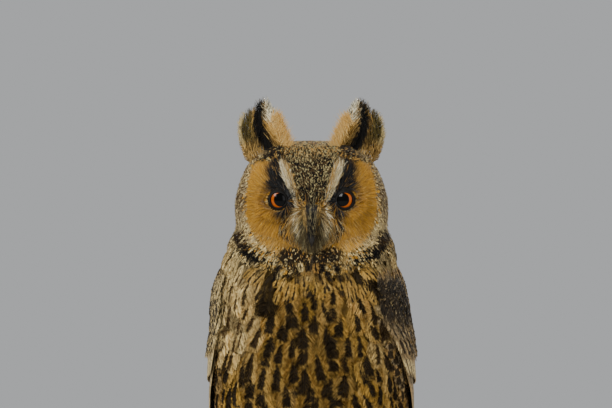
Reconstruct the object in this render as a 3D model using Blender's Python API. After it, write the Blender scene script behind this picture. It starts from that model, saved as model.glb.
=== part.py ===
"""A long-eared owl, life size, perched on a short cut length of branch that a display stand holds.

Units are metres, +Z is up, and the bird faces -Y, so its left side is +X. The origin is the
centre of the base's underside. Heights on the bird are given as a drop below its crown.
"""

import math
from dataclasses import dataclass

import bmesh
import bpy
from mathutils import Matrix, Vector

MM = 0.001
GAP = 0.3 * MM  # what separate pieces keep between them
MERGE = 0.002 * MM  # points this close are one
FLAT_ANGLE = math.radians(0.02)  # faces that meet at less than this are one

# Stand and perch
BASE_LENGTH = 200 * MM
BASE_DEPTH = 160 * MM
BASE_THICKNESS = 14 * MM
BASE_EDGE = 2.5 * MM
BASE_SIDES = 36
ROD_RADIUS = 4 * MM
ROD_SPREAD = 58 * MM
ROD_FOOT_RADIUS = 9 * MM
ROD_FOOT_HEIGHT = 3.5 * MM
ROD_SIDES = 16
PERCH_RADIUS = 15 * MM
PERCH_LENGTH = 188 * MM
PERCH_SIDES = 20
TWIG_RADIUS = 5 * MM
TWIG_LENGTH = 24 * MM
TWIG_PLACE = -70 * MM
TWIG_LIE = (-0.45, 0.75, 0.5)

# Heights, all from the crown down
TAIL_DROP = 335 * MM
TAIL_CLEARANCE = 8 * MM
PERCH_DROP = 232 * MM
CROWN_Z = BASE_THICKNESS + TAIL_CLEARANCE + TAIL_DROP
PERCH_TOP = CROWN_Z - PERCH_DROP
PERCH_AXIS = PERCH_TOP - PERCH_RADIUS

# Torso sections: drop, half width, front and back, in millimetres
TORSO_SECTIONS = [
    (44, 40, -22, 38),
    (60, 46.5, -29, 42),
    (78, 49.5, -38, 45),
    (98, 51, -46, 46.5),
    (120, 52, -52, 48),
    (145, 52.5, -54, 49),
    (168, 51.5, -52, 49),
    (190, 47.5, -42, 49),
    (203, 43, -28, 48.5),
    (212, 38, -10, 48),
    (219, 33.5, 9, 47.5),
    (226, 29, 19, 47),
    (236, 23.5, 27, 46.5),
    (256, 13, 36, 46.5),
]
SECTION_POWER = 2.25
NECK_TOP_DROP = 46 * MM
NECK_BOTTOM_DROP = 78 * MM
TORSO_BOTTOM_DROP = 256 * MM
BODY_SIDES = 28
NECK_RINGS = 4
TORSO_RINGS = 17
TORSO_CROWDING = 1.3  # sets the torso's sections closer together towards its lower end

# Head, seen from the front: an outline that narrows towards the crown
HEAD_CENTRE_DROP = 36 * MM
HEAD_CENTRE_Y = 3 * MM
HEAD_TOP = 36 * MM
HEAD_BOTTOM = 38 * MM
HEAD_HALF_WIDTH = 44 * MM
HEAD_TAPER = 0.2
HEAD_TOP_POWER = 3.0
HEAD_BOTTOM_POWER = 2.3
FACE_DEPTH = 35 * MM
BACK_DEPTH = 37 * MM
HEAD_SIDES = 40
HEAD_RINGS = 22

# Face relief, in millimetres: rim and brows stand forward, the discs round the eyes are hollow
RIM_RISE, RIM_SHARE, RIM_WIDTH = 3.2, 0.9, 0.075
HOLLOW_DEPTH = 4.0
HOLLOW_SIDE, HOLLOW_HALF_WIDTH = 26, 11
HOLLOW_DROP, HOLLOW_HALF_HEIGHT = 40, 17
RIDGE_RISE, RIDGE_HALF_WIDTH = 3.5, 3.2
RIDGE_TOP, RIDGE_START, RIDGE_LENGTH, RIDGE_END = 24, 34, 24, 63
RIDGE_GROWTH, RIDGE_SPREAD = 0.16, 8.5
BROW_RISE, BROW_HALF_WIDTH = 3.6, 4.2
BROW_SIDE, BROW_LEAN = 3.5, 0.55
BROW_DROP, BROW_HALF_HEIGHT = 21, 15
FOREHEAD_RISE, FOREHEAD_HALF_WIDTH, FOREHEAD_DROP = 1.5, 9, 12

# Eyes
EYE_SPACING = 38.4 * MM
EYE_DROP = 34 * MM
EYE_RADIUS = 9.2 * MM
EYE_DEPTH = -23.2 * MM
EYE_TURN = math.radians(9)
EYE_SIDES = 14
LID_RADIUS = 6.9 * MM
LID_LIP = 0.9 * MM
LID_FOOT = 3.2 * MM
LID_DEPTH = 4.4 * MM
LID_PROUD = 0.4 * MM

# Bill
BILL_DROP = 43 * MM
BILL_ROOT_Y = -34.5 * MM
BILL_ROOT_RADIUS = 4.8 * MM
BILL_REACH = 7.5 * MM
BILL_FALL = 18.5 * MM
BILL_CURVE = math.radians(84)
BILL_HOOK = 3.4 * MM
BILL_HOOK_START = 0.72
BILL_TIP_RADIUS = 0.45 * MM
BILL_STEPS = 9
NOSTRIL_RADIUS = 0.9 * MM
NOSTRIL_SHARE = 0.16
NOSTRIL_PLACE = (4.3 * MM, -0.6 * MM, 0.4 * MM)
LOW_BILL_RADIUS = 3.0 * MM
LOW_BILL_SHARES = (0.2, 0.82)
LOW_BILL_BEHIND = 4.4 * MM
LOW_BILL_BELOW = 1.0 * MM

# Ear tufts: a cupped fan of feathers, from the inner edge outwards
TUFT_LENGTHS = [24 * MM, 32 * MM, 39 * MM, 43 * MM, 42 * MM, 38 * MM, 33 * MM]
TUFT_INNER_ROOT = (13.5 * MM, -13 * MM, 8 * MM)  # across, along Y, below the crown
TUFT_OUTER_ROOT = (32.5 * MM, -4.5 * MM, 13 * MM)
TUFT_FAN = (math.radians(-6), math.radians(19))  # how far the first and the last lean out
TUFT_CUP = (math.radians(-18), math.radians(58))  # which way the first and the last face
TUFT_LEAN = math.radians(42)
TUFT_WIDTH = 8.6 * MM
TUFT_ROLL = 0.24
TUFT_BEND = 3.5 * MM
TUFT_CORE = (10.5 * MM, 4.6 * MM, 12.5 * MM)
TUFT_CORE_SHARE = 0.3  # how far along a feather's first stretch the core has its middle
TUFT_CORE_TURN = math.radians(22)

# Wings: drop, half width, middle and half depth of the sheet that they lie on, in millimetres,
# and the angles round the body of their front and back edges. The sheet is straight between.
WING_SECTIONS = [
    (80, 50.5, 3.3, 42.5, -30, 60),
    (100, 52.2, 0, 47.6, -32, 68),
    (120, 53, -2, 51, -26, 74),
    (145, 53.5, -2.5, 52.5, -16, 81),
    (168, 52.5, -1.5, 51.5, -9, 84),
    (190, 48.5, 3.5, 46.5, -2, 86),
    (205, 46, 7.5, 43, 4, 86),
    (225, 44.5, 8, 43, 12.5, 86.5),
    (250, 42, 8.5, 45, 27, 87),
    (280, 38, 13, 45.5, 39, 87),
    (310, 36, 19, 43.5, 50, 87),
    (335, 32, 27, 38.5, 64, 86),
]
WING_FRONT_SHIFT = {1: -15, -1: 8}  # degrees: the left wrist shows more from the front
WING_SHIFT_END = 165
WING_SHIFT_LENGTH = 70
WING_INNER_SIDE = 0.6  # millimetres from the middle plane that the wings keep
WING_CORE = [(82, 2.0), (92, 4.0), (110, 4.7), (132, 4.7), (155, 3.4), (179, 2.5), (197, 2.0), (212, 1.2)]
WING_CORE_BACK = 2.6  # how much more it rises towards its back edge
WING_STRIPS = 6
WING_SINK = 6  # millimetres that the arm's inner side lies under the sheet, before it is cut
WING_FRONT_THIN = 0.5  # the arm's height at its very front edge, as a share
WING_FRONT_FULL = 0.1  # the share of the sheet where it has its full height
VANE_THICKNESS = 0.5 * MM
VANE_STEP = 1.1  # millimetres from one vane of a tier up to the next
VANE_ROLL = 0.12  # the steepest that each vane tilts under the one behind it
VANE_POINT = 0.16  # how far a tip's middle reaches past its corners, as a share of the width
VANE_SINK = 0.25  # millimetres that a tip bends inwards
VANE_LIMIT = 0.985  # the share of the sheet past which no vane reaches
VANE_CELL = 4  # the shortest stretch of a vane, in millimetres

# Tail
TAIL_TOP_DROP = 212 * MM
TAIL_Y = 41.8 * MM
TAIL_SLOPE = 0.145
TAIL_PAIRS = 6
TAIL_HALF_WIDTH = 21.5 * MM
TAIL_INNER_WIDTH = 20 * MM
TAIL_ROOT_DROP = 226 * MM
TAIL_CORE_END = 264 * MM
TAIL_CORE_DEPTH = 7.6 * MM
TAIL_CORE_WIDTHS = (8 * MM, 14 * MM)
TAIL_CORE_SIDES = 12
TAIL_STAGGER = 1.4 * MM
TAIL_CORNER = 2.2 * MM
TAIL_ROOT_WIDTH = 0.62

# Legs and feet
LEG_SPREAD = 18.5 * MM
ANKLE_HEIGHT = 12 * MM
LEG_PATH = [
    # millimetres: sideways, along Y, drop below the crown, radius
    (19, -3, 188, 17),
    (20, -6, 203, 16),
]
ANKLE_RADIUS = 7.4 * MM
SHANK_RADIUS = 11.5 * MM
SHANK_HEIGHT = 7 * MM
FOOT_RADII = (6.0 * MM, 6.6 * MM)
FOOT_SUNK = 1.2 * MM
TOE_RADIUS = 4.1 * MM
TOE_TAPER = 0.2
TOE_STEPS = 6
TOES = [
    # name, sideways start and end in millimetres, way round the perch, arc in degrees
    ("inner", -3.0, -8.0, -1, 82),
    ("middle", 2.0, 3.5, -1, 88),
    ("outer", 4.0, 10.0, 1, 62),
    ("hind", -2.0, -4.0, 1, 66),
]
CLAW_RADIUS = 2.1 * MM
CLAW_TIP_RADIUS = 0.3 * MM
CLAW_ARC = math.radians(40)
CLAW_ARCH = 1.5 * MM
CLAW_STEPS = 5

FEATHER_OCHRE = (0.33, 0.19, 0.06)
FEATHER_BROWN = (0.09, 0.06, 0.035)
FEATHER_PALE = (0.42, 0.35, 0.22)
DISC_TAN = (0.27, 0.14, 0.03)
BILL_BLACK = (0.02, 0.018, 0.015)
EYE_ORANGE = (0.6, 0.16, 0.01)
BARK_BROWN = (0.14, 0.1, 0.07)
WOOD_WALNUT = (0.1, 0.05, 0.025)
STEEL_DARK = (0.05, 0.05, 0.055)


def clear_scene():
    for old in list(bpy.data.objects):
        bpy.data.objects.remove(old, do_unlink=True)


def make_collection(name):
    made = bpy.data.collections.new(name)
    bpy.context.scene.collection.children.link(made)
    return made


def make_material(name, colour, roughness, metallic=0.0):
    material = bpy.data.materials.new(name)
    material.use_nodes = True
    shader = material.node_tree.nodes["Principled BSDF"]
    shader.inputs["Base Color"].default_value = (*colour, 1.0)
    shader.inputs["Roughness"].default_value = roughness
    shader.inputs["Metallic"].default_value = metallic
    material.diffuse_color = (*colour, 1.0)
    return material


def face_outwards(bm):
    bm.normal_update()
    bmesh.ops.recalc_face_normals(bm, faces=bm.faces)


def split_faces(bm):
    """Splits the faces in triangles, always the same way, so that none is left bent."""
    bmesh.ops.triangulate(bm, faces=bm.faces, quad_method="FIXED", ngon_method="EAR_CLIP")


def add_object(name, bm, collection, material=None, smooth=True):
    """Turns a bmesh into a named object in a collection."""
    face_outwards(bm)
    split_faces(bm)
    mesh = bpy.data.meshes.new(name)
    bm.to_mesh(mesh)
    bm.free()
    obj = bpy.data.objects.new(name, mesh)
    collection.objects.link(obj)
    if material:
        mesh.materials.append(material)
    if smooth:
        mesh.shade_smooth()
        mesh.set_sharp_from_angle(angle=math.radians(40))
    return obj


def add_curve_tube(name, points, radii, collection, resolution=2):
    """A POLY curve with a radius at each point and filled caps, made a welded mesh."""
    curve = bpy.data.curves.new(name + "_curve", "CURVE")
    curve.dimensions = "3D"
    curve.bevel_depth = 1.0
    curve.bevel_resolution = resolution
    curve.use_fill_caps = True
    spline = curve.splines.new("POLY")
    spline.points.add(len(points) - 1)
    for spot, point, radius in zip(spline.points, points, radii):
        spot.co = (*point, 1.0)
        spot.radius = radius
    guide = bpy.data.objects.new(name + "_curve", curve)
    collection.objects.link(guide)
    bpy.context.view_layer.update()
    graph = bpy.context.evaluated_depsgraph_get()
    mesh = bpy.data.meshes.new_from_object(guide.evaluated_get(graph))
    bpy.data.objects.remove(guide, do_unlink=True)
    bm = bmesh.new()
    bm.from_mesh(mesh)
    bpy.data.meshes.remove(mesh)
    bmesh.ops.remove_doubles(bm, verts=bm.verts, dist=MERGE)
    return add_object(name, bm, collection)


def grow(bm, distance):
    """Splits the faces in triangles and moves each vertex out."""
    face_outwards(bm)
    split_faces(bm)
    if not distance:
        return
    bm.normal_update()
    moved = [(vert, vert.normal.copy()) for vert in bm.verts]
    for vert, normal in moved:
        vert.co += normal * distance


def apply_boolean(obj, other, operation, solver="EXACT"):
    modifier = obj.modifiers.new("join", "BOOLEAN")
    modifier.operation = operation
    modifier.solver = solver
    if isinstance(other, bpy.types.Collection):
        modifier.operand_type = "COLLECTION"
        modifier.collection = other
    else:
        modifier.object = other
    bpy.context.view_layer.objects.active = obj
    bpy.ops.object.modifier_apply(modifier=modifier.name)


def cut_away(obj, *cutters):
    """Cuts each of these from obj and removes them."""
    for cutter in cutters:
        apply_boolean(obj, cutter, "DIFFERENCE")
        bpy.data.objects.remove(cutter, do_unlink=True)


def join_all(obj, pieces, solver="EXACT"):
    """Fuses a collection of closed pieces into obj in one union, and removes them."""
    apply_boolean(obj, pieces, "UNION", solver)
    for piece in list(pieces.objects):
        bpy.data.objects.remove(piece, do_unlink=True)
    bpy.data.collections.remove(pieces)


def keep_largest(obj):
    """Keeps only the largest closed surface of a mesh, with its flat stretches in few faces."""
    bm = bmesh.new()
    bm.from_mesh(obj.data)
    bmesh.ops.remove_doubles(bm, verts=bm.verts, dist=MERGE)
    bmesh.ops.dissolve_limit(bm, angle_limit=FLAT_ANGLE, verts=bm.verts, edges=bm.edges)
    left = set(bm.verts)
    groups = []
    while left:
        stack = [left.pop()]
        group = set(stack)
        while stack:
            for edge in stack.pop().link_edges:
                for vert in edge.verts:
                    if vert in left:
                        left.discard(vert)
                        group.add(vert)
                        stack.append(vert)
        groups.append(group)
    groups.sort(key=len, reverse=True)
    scraps = [vert for group in groups[1:] for vert in group]
    bmesh.ops.delete(bm, geom=scraps, context="VERTS")
    bmesh.ops.triangulate(bm, faces=bm.faces)
    bm.to_mesh(obj.data)
    bm.free()


def read_table(rows, at, column):
    """A smooth value from a table of sections, by a cubic through its rows."""
    places = [row[0] for row in rows]
    at = min(max(at, places[0]), places[-1])
    i = max(k for k in range(len(rows) - 1) if places[k] <= at)
    x0, x1 = places[i], places[i + 1]
    y0, y1 = rows[i][column], rows[i + 1][column]

    def slope(k):
        low, high = max(k - 1, 0), min(k + 1, len(rows) - 1)
        return (rows[high][column] - rows[low][column]) / (places[high] - places[low])

    t = (at - x0) / (x1 - x0)
    m0, m1 = slope(i) * (x1 - x0), slope(i + 1) * (x1 - x0)
    return (
        (2 * t**3 - 3 * t**2 + 1) * y0
        + (t**3 - 2 * t**2 + t) * m0
        + (3 * t**2 - 2 * t**3) * y1
        + (t**3 - t**2) * m1
    )


def signed_power(value, power):
    return math.copysign(abs(value) ** power, value)


def loft(rings):
    """A closed skin over rings of the same count, with flat ends."""
    bm = bmesh.new()
    rows = [[bm.verts.new(point) for point in ring] for ring in rings]
    for low, high in zip(rows, rows[1:]):
        for k in range(len(low)):
            n = (k + 1) % len(low)
            bm.faces.new((low[k], low[n], high[n], high[k]))
    bm.faces.new(rows[0][::-1])
    bm.faces.new(rows[-1])
    return bm


def torso_ring(drop):
    """One level section of the torso."""
    half_width = read_table(TORSO_SECTIONS, drop / MM, 1) * MM
    front = read_table(TORSO_SECTIONS, drop / MM, 2) * MM
    back = read_table(TORSO_SECTIONS, drop / MM, 3) * MM
    middle, half_depth = (front + back) / 2, (back - front) / 2
    ring = []
    for k in range(BODY_SIDES):
        angle = 2 * math.pi * k / BODY_SIDES
        x = half_width * signed_power(math.cos(angle), 2 / SECTION_POWER)
        y = middle + half_depth * signed_power(math.sin(angle), 2 / SECTION_POWER)
        ring.append(Vector((x, y, CROWN_Z - drop)))
    return ring


def body_length(top, bottom, rings, crowding=1.0):
    shares = [1 - (1 - k / (rings - 1)) ** crowding for k in range(rings)]
    return loft([torso_ring(top + (bottom - top) * share) for share in shares])


def torso_mesh(grown=0.0):
    top = NECK_BOTTOM_DROP + GAP
    bm = body_length(top, TORSO_BOTTOM_DROP, TORSO_RINGS, TORSO_CROWDING)
    grow(bm, grown)
    return bm


def neck_mesh(grown=0.0):
    bm = body_length(NECK_TOP_DROP, NECK_BOTTOM_DROP, NECK_RINGS)
    grow(bm, grown)
    return bm


def head_outline(angle):
    """Distance from the head's centre to its outline, seen from the front."""
    across, up = math.cos(angle), math.sin(angle)
    height = HEAD_TOP if up > 0 else HEAD_BOTTOM
    power = HEAD_TOP_POWER if up > 0 else HEAD_BOTTOM_POWER
    reach = HEAD_HALF_WIDTH
    for _ in range(12):
        z = reach * up
        width = HEAD_HALF_WIDTH - HEAD_TAPER * max(z, 0.0)
        reach = ((abs(across) / width) ** power + (abs(up) / height) ** power) ** (-1 / power)
    return reach


def bump(value, middle, width):
    return math.exp(-(((value - middle) / width) ** 2))


def ease(value, width):
    """Rises softly from 0 to 1 where the value passes zero."""
    return 1 / (1 + math.exp(-value / width))


def face_relief(x, drop, share):
    """How far the face stands forward of its plain curve. Share runs from 0 at its centre to 1."""
    side = abs(x) / MM
    down = drop / MM
    rim = RIM_RISE * bump(share, RIM_SHARE, RIM_WIDTH)
    hollow = bump(side, HOLLOW_SIDE, HOLLOW_HALF_WIDTH) * bump(down, HOLLOW_DROP, HOLLOW_HALF_HEIGHT)
    below = max(0.0, down - RIDGE_START)
    ridge_width = RIDGE_HALF_WIDTH + RIDGE_SPREAD * min(1.0, below / RIDGE_LENGTH)
    ridge_fade = ease(RIDGE_END - down, 1.4) * ease(down - RIDGE_TOP, 4)
    ridge = (RIDGE_RISE + RIDGE_GROWTH * below) * bump(side, 0, ridge_width) * ridge_fade
    brow_middle = BROW_SIDE + (HOLLOW_DROP - down) * BROW_LEAN
    brow = bump(side, brow_middle, BROW_HALF_WIDTH) * bump(down, BROW_DROP, BROW_HALF_HEIGHT)
    forehead = bump(side, 0, FOREHEAD_HALF_WIDTH) * bump(down, FOREHEAD_DROP, FOREHEAD_DROP)
    forward = rim - HOLLOW_DEPTH * hollow + ridge + BROW_RISE * brow + FOREHEAD_RISE * forehead
    return forward * MM


def head_mesh(grown=0.0):
    """A sphere with its poles at the face and the nape, pulled to the head's outline."""
    bm = bmesh.new()
    bmesh.ops.create_uvsphere(bm, u_segments=HEAD_SIDES, v_segments=HEAD_RINGS, radius=1.0)
    for vert in bm.verts:
        forward, angle = vert.co.z, math.atan2(vert.co.y, vert.co.x)
        share = min(1.0, math.hypot(vert.co.x, vert.co.y))
        spread = share**0.9 if forward > 0 else share
        reach = head_outline(angle) * spread
        x, z = reach * math.cos(angle), reach * math.sin(angle)
        drop = HEAD_CENTRE_DROP - z
        if forward >= 0:
            y = -FACE_DEPTH * (1 - spread**2.6) ** 0.5 - face_relief(x, drop, spread)
        else:
            y = -BACK_DEPTH * forward
        vert.co = Vector((x, HEAD_CENTRE_Y + y, CROWN_Z - drop))
    grow(bm, grown)
    return bm


def eye_place(side):
    """Centre of an eye and the way that it looks."""
    centre = Vector((side * EYE_SPACING / 2, EYE_DEPTH, CROWN_Z - EYE_DROP))
    gaze = Vector((side * math.sin(EYE_TURN), -math.cos(EYE_TURN), 0.0))
    return centre, gaze


def eye_mesh(side, grown=0.0):
    centre, gaze = eye_place(side)
    bm = bmesh.new()
    bmesh.ops.create_uvsphere(bm, u_segments=EYE_SIDES, v_segments=8, radius=EYE_RADIUS + grown)
    turn = Vector((0, 0, 1)).rotation_difference(gaze).to_matrix().to_4x4()
    bmesh.ops.transform(bm, matrix=Matrix.Translation(centre) @ turn, verts=bm.verts)
    return bm


def lid_ring(side, collection):
    """The edge of the lids, a ring that stands round the eye."""
    centre, gaze = eye_place(side)
    across = gaze.cross(Vector((0, 0, 1))).normalized()
    up = across.cross(gaze)
    seat = math.sqrt(EYE_RADIUS**2 - LID_RADIUS**2) + LID_PROUD
    bm = bmesh.new()
    bmesh.ops.create_cone(
        bm,
        cap_ends=True,
        segments=EYE_SIDES,
        radius1=LID_RADIUS + LID_FOOT,
        radius2=LID_RADIUS + LID_LIP,
        depth=LID_DEPTH,
    )
    frame = Matrix((across, up, gaze)).transposed().to_4x4()
    place = Matrix.Translation(centre + gaze * (seat - LID_DEPTH / 4)) @ frame
    bmesh.ops.transform(bm, matrix=place, verts=bm.verts)
    return add_object("lid_ring", bm, collection)


def bill_path(share):
    """The middle of the upper bill, from root to hooked tip."""
    turn = share * BILL_CURVE
    forward = BILL_REACH * math.sin(turn)
    fall = BILL_FALL * (1 - math.cos(turn)) / (1 - math.cos(BILL_CURVE))
    hook = BILL_HOOK * max(0.0, share - BILL_HOOK_START) / (1 - BILL_HOOK_START)
    return Vector((0, BILL_ROOT_Y - forward + hook, CROWN_Z - BILL_DROP - fall))


def taper(radius, share):
    """Radius of a bill at a share of its length."""
    return radius * (1 - share) ** 0.6 + BILL_TIP_RADIUS


def make_bill(material, collection, cutters):
    """Both halves of the bill. Returns the seats that they take in the head."""
    shares = [k / (BILL_STEPS - 1) for k in range(BILL_STEPS)]
    points = [bill_path(share) for share in shares]
    radii = [taper(BILL_ROOT_RADIUS, share) for share in shares]
    upper = add_curve_tube("bill_upper", points, radii, collection)
    upper.data.materials.append(material)
    for side in (-1, 1):
        bm = bmesh.new()
        bmesh.ops.create_icosphere(bm, subdivisions=1, radius=NOSTRIL_RADIUS)
        across, along, up = NOSTRIL_PLACE
        spot = bill_path(NOSTRIL_SHARE) + Vector((side * across, along, up))
        bmesh.ops.translate(bm, vec=spot, verts=bm.verts)
        cut_away(upper, add_object("nostril", bm, cutters))
    keep_largest(upper)
    low_points = []
    low_radii = []
    for share in (0.0, 0.35, 0.7, 1.0):
        behind = LOW_BILL_BEHIND - BILL_TIP_RADIUS * share
        spot = bill_path(mix(*LOW_BILL_SHARES, share))
        low_points.append(spot + Vector((0, behind, -LOW_BILL_BELOW)))
        low_radii.append(taper(LOW_BILL_RADIUS, share))
    lower = add_curve_tube("bill_lower", low_points, low_radii, collection)
    lower.data.materials.append(material)
    grown = [radius + GAP for radius in radii]
    cut_away(lower, add_curve_tube("bill_cutter", points, grown, cutters))
    keep_largest(lower)
    low_grown = [radius + GAP for radius in low_radii]
    return [
        add_curve_tube("bill_seat", points, grown, cutters),
        add_curve_tube("bill_low_seat", low_points, low_grown, cutters),
    ]


def mix(low, high, share):
    return low + (high - low) * share


def read_line(rows, at):
    """A value from a table of places and values, straight between its rows."""
    at = min(max(at, rows[0][0]), rows[-1][0])
    for (x0, y0), (x1, y1) in zip(rows, rows[1:]):
        if at <= x1:
            return mix(y0, y1, (at - x0) / (x1 - x0))
    return rows[-1][1]


def vane_outline(along):
    """Half width of a vane as a share of its widest, from its root to its rounded tip."""
    return read_line([(0, 0.5), (0.3, 0.9), (0.6, 1.0), (0.8, 0.92), (1, 0.34)], along)


def add_vane(name, rows, pieces):
    """A thin closed vane, split in triangles alike on both faces.

    Each row, from root to tip, holds three points of its inner face from edge to edge.
    """
    cells = len(rows) - 1
    bm = bmesh.new()
    bmesh.ops.create_grid(bm, x_segments=2, y_segments=cells, size=1)
    for vert in bm.verts:
        vert.co = rows[round((vert.co.y + 1) / 2 * cells)][round(vert.co.x) + 1]
    split_faces(bm)
    bm.normal_update()
    bmesh.ops.solidify(bm, geom=bm.faces[:], thickness=VANE_THICKNESS)
    return add_object(name, bm, pieces)


def tuft_vane(side, index, cells=3):
    """Rows of one feather of an ear tuft."""
    share = index / (len(TUFT_LENGTHS) - 1)
    length = TUFT_LENGTHS[index]
    spot = [mix(a, b, share) for a, b in zip(TUFT_INNER_ROOT, TUFT_OUTER_ROOT)]
    root = Vector((side * spot[0], spot[1], CROWN_Z - spot[2]))
    fan = mix(*TUFT_FAN, share)
    turn = mix(*TUFT_CUP, share)
    lie = Vector(
        (
            side * math.sin(fan),
            math.cos(fan) * math.sin(TUFT_LEAN),
            math.cos(fan) * math.cos(TUFT_LEAN),
        )
    )
    across = Vector((side * math.cos(turn), math.sin(turn), 0.0))
    across = (across - lie * across.dot(lie)).normalized()
    out = across.cross(lie) * side
    rows = []
    for k in range(cells + 1):
        along = k / cells
        row = []
        for edge in (-1, 0, 1):
            offset = edge * TUFT_WIDTH / 2 * vane_outline(along)
            reach = length * along + (1 - edge**2) * VANE_POINT * TUFT_WIDTH * along**4
            rise = TUFT_ROLL * offset + TUFT_BEND * along**2
            row.append(root + lie * reach + across * offset + out * rise)
        rows.append(row)
    return rows


def make_tuft(side, name, material, collection, cutters):
    """An ear tuft: long feathers fused at a small core that grows from the head."""
    pieces = make_collection(name + "_feathers")
    for index in range(len(TUFT_LENGTHS)):
        add_vane(f"{name}_vane_{index}", tuft_vane(side, index), pieces)
    middle = tuft_vane(side, len(TUFT_LENGTHS) // 2)
    root, ahead = middle[0][1], middle[1][1]
    bm = bmesh.new()
    bmesh.ops.create_uvsphere(bm, u_segments=10, v_segments=6, radius=1.0)
    turn = Vector((0, 0, 1)).rotation_difference(ahead - root).to_matrix().to_4x4()
    lean = Matrix.Rotation(side * TUFT_CORE_TURN, 4, "Z")
    size = Matrix.Diagonal((*TUFT_CORE, 1.0))
    place = Matrix.Translation(mix(root, ahead, TUFT_CORE_SHARE))
    bmesh.ops.transform(bm, matrix=place @ turn @ lean @ size, verts=bm.verts)
    tuft = add_object(name, bm, collection, material)
    join_all(tuft, pieces)
    cut_away(tuft, add_object("head_cutter", head_mesh(GAP), cutters))
    keep_largest(tuft)
    return tuft


def section_point(side, section, share, height):
    """A point over one section of a wing's sheet. Share runs from its front edge to its back."""
    down, half_width, middle, half_depth, front, back = section
    shift = (WING_SHIFT_END - down) / WING_SHIFT_LENGTH
    front += WING_FRONT_SHIFT[side] * max(0.0, min(1.0, shift))
    angle = math.radians(front + (back - front) * share)
    across = signed_power(math.cos(angle), 2 / SECTION_POWER)
    along = signed_power(math.sin(angle), 2 / SECTION_POWER)
    normal = Vector(
        (
            signed_power(across, SECTION_POWER - 1) / half_width,
            signed_power(along, SECTION_POWER - 1) / half_depth,
            0.0,
        )
    ).normalized()
    spot = Vector((half_width * across, middle + half_depth * along, 0.0)) + normal * height
    across = max(spot.x, WING_INNER_SIDE)
    return Vector((side * across * MM, spot.y * MM, CROWN_Z - down * MM))


def wing_point(side, down, share, height):
    """A point over the sheet that a wing lies on, at a drop and a height in millimetres."""
    below = next(k for k, row in enumerate(WING_SECTIONS) if k and row[0] >= down)
    low, high = WING_SECTIONS[below - 1], WING_SECTIONS[below]
    part = (down - low[0]) / (high[0] - low[0])
    return section_point(side, low, share, height).lerp(
        section_point(side, high, share, height), part
    )


def wing_arc(side, down, steps=10):
    """Length in millimetres of the wing's sheet round the body at this drop."""
    spots = [wing_point(side, down, k / steps, 0.0) for k in range(steps + 1)]
    return sum((b - a).length for a, b in zip(spots, spots[1:])) / MM


@dataclass
class Tier:
    """A row of wing feathers, the first in front and the last at the back, in millimetres."""

    name: str
    count: int
    roots: tuple  # drop and share of the first root, then of the last
    tips: tuple
    width: float
    lift: list  # drop and height over the sheet

    def ends(self, index):
        part = index / (self.count - 1)
        root = [mix(self.roots[n], self.roots[n + 2], part) for n in (0, 1)]
        tip = [mix(self.tips[n], self.tips[n + 2], part) for n in (0, 1)]
        return root, tip

    def share_at(self, index, down):
        """Share of a feather's middle line at this drop."""
        root, tip = self.ends(index)
        along = min(1.0, max(0.0, (down - root[0]) / (tip[0] - root[0])))
        return mix(root[1], tip[1], along)

    def point(self, side, index, along, across):
        root, tip = self.ends(index)
        down = mix(root[0], tip[0], along)
        sink = 0.0
        if along == 1:
            down += (1 - across**2) * VANE_POINT * self.width
            sink = VANE_SINK
        arc = wing_arc(side, down)
        first, last = self.share_at(0, down), self.share_at(self.count - 1, down)
        spacing = (last - first) * arc / (self.count - 1)
        roll = min(VANE_ROLL, VANE_STEP / spacing)
        offset = across * self.width / 2 * vane_outline(along)
        share = min(self.share_at(index, down) + offset / arc, VANE_LIMIT)
        height = read_line(self.lift, down) + VANE_STEP * index - roll * (share - first) * arc - sink
        return wing_point(side, down, share, height)

    def vane(self, side, index):
        """Rows of one feather: at its root, at each section that it crosses and at its tip."""
        (top, _), (bottom, _) = self.ends(index)
        low, high = top + VANE_CELL, bottom - VANE_CELL
        crossed = [row[0] for row in WING_SECTIONS if low < row[0] < high]
        places = [(down - top) / (bottom - top) for down in [top, *crossed, bottom]]
        return [[self.point(side, index, at, across) for across in (-1, 0, 1)] for at in places]


WING_TIERS = [
    Tier(
        "primary", 6, (168, 0.02, 168, 0.5), (329, 0.3, 268, 0.5), 17,
        [(168, 0.4), (190, 0.8), (335, 0.8)],
    ),
    Tier(
        "secondary", 6, (145, 0.1, 145, 0.7), (205, 0.12, 262, 0.7), 20,
        [(145, 1.6), (168, 3.9), (190, 5.2), (205, 5.8), (225, 6.4), (250, 7.6), (280, 8.6)],
    ),
    Tier(
        "tertial", 3, (130, 0.85, 130, 0.96), (246, 0.82, 276, 0.9), 17,
        [(120, 1.4), (145, 4.6), (168, 6.4), (190, 7.9), (225, 9.2), (250, 10.8), (280, 11.6)],
    ),
    Tier(
        "greater_covert", 6, (112, 0.1, 112, 0.62), (168, 0.1, 192, 0.62), 16,
        [(100, 0.6), (120, 3.4), (145, 5.6), (168, 6.9), (190, 8.0), (205, 8.6)],
    ),
    Tier(
        "median_covert", 7, (92, 0.06, 90, 0.62), (136, 0.06, 150, 0.62), 13,
        [(80, 0.0), (100, 3.2), (120, 6.3), (145, 7.8), (168, 8.9)],
    ),
    Tier(
        "scapular", 4, (86, 0.78, 84, 0.97), (152, 0.75, 198, 0.92), 17,
        [(80, 0.6), (100, 4.9), (120, 7.2), (145, 8.8), (168, 10.2), (205, 11.4)],
    ),
]


def wing_core(side):
    """The smooth arm under the coverts that carries every tier's roots."""
    rings = []
    for down, top in WING_CORE:
        outer, inner = [], []
        for n in range(WING_STRIPS + 1):
            share = n / WING_STRIPS
            front = mix(WING_FRONT_THIN, 1.0, min(1.0, share / WING_FRONT_FULL))
            rise = top * front + WING_CORE_BACK * max(0.0, share * 2 - 1)
            outer.append(wing_point(side, down, share, rise))
            inner.append(wing_point(side, down, share, -WING_SINK))
        rings.append(outer + inner[::-1])
    return loft(rings)


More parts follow.
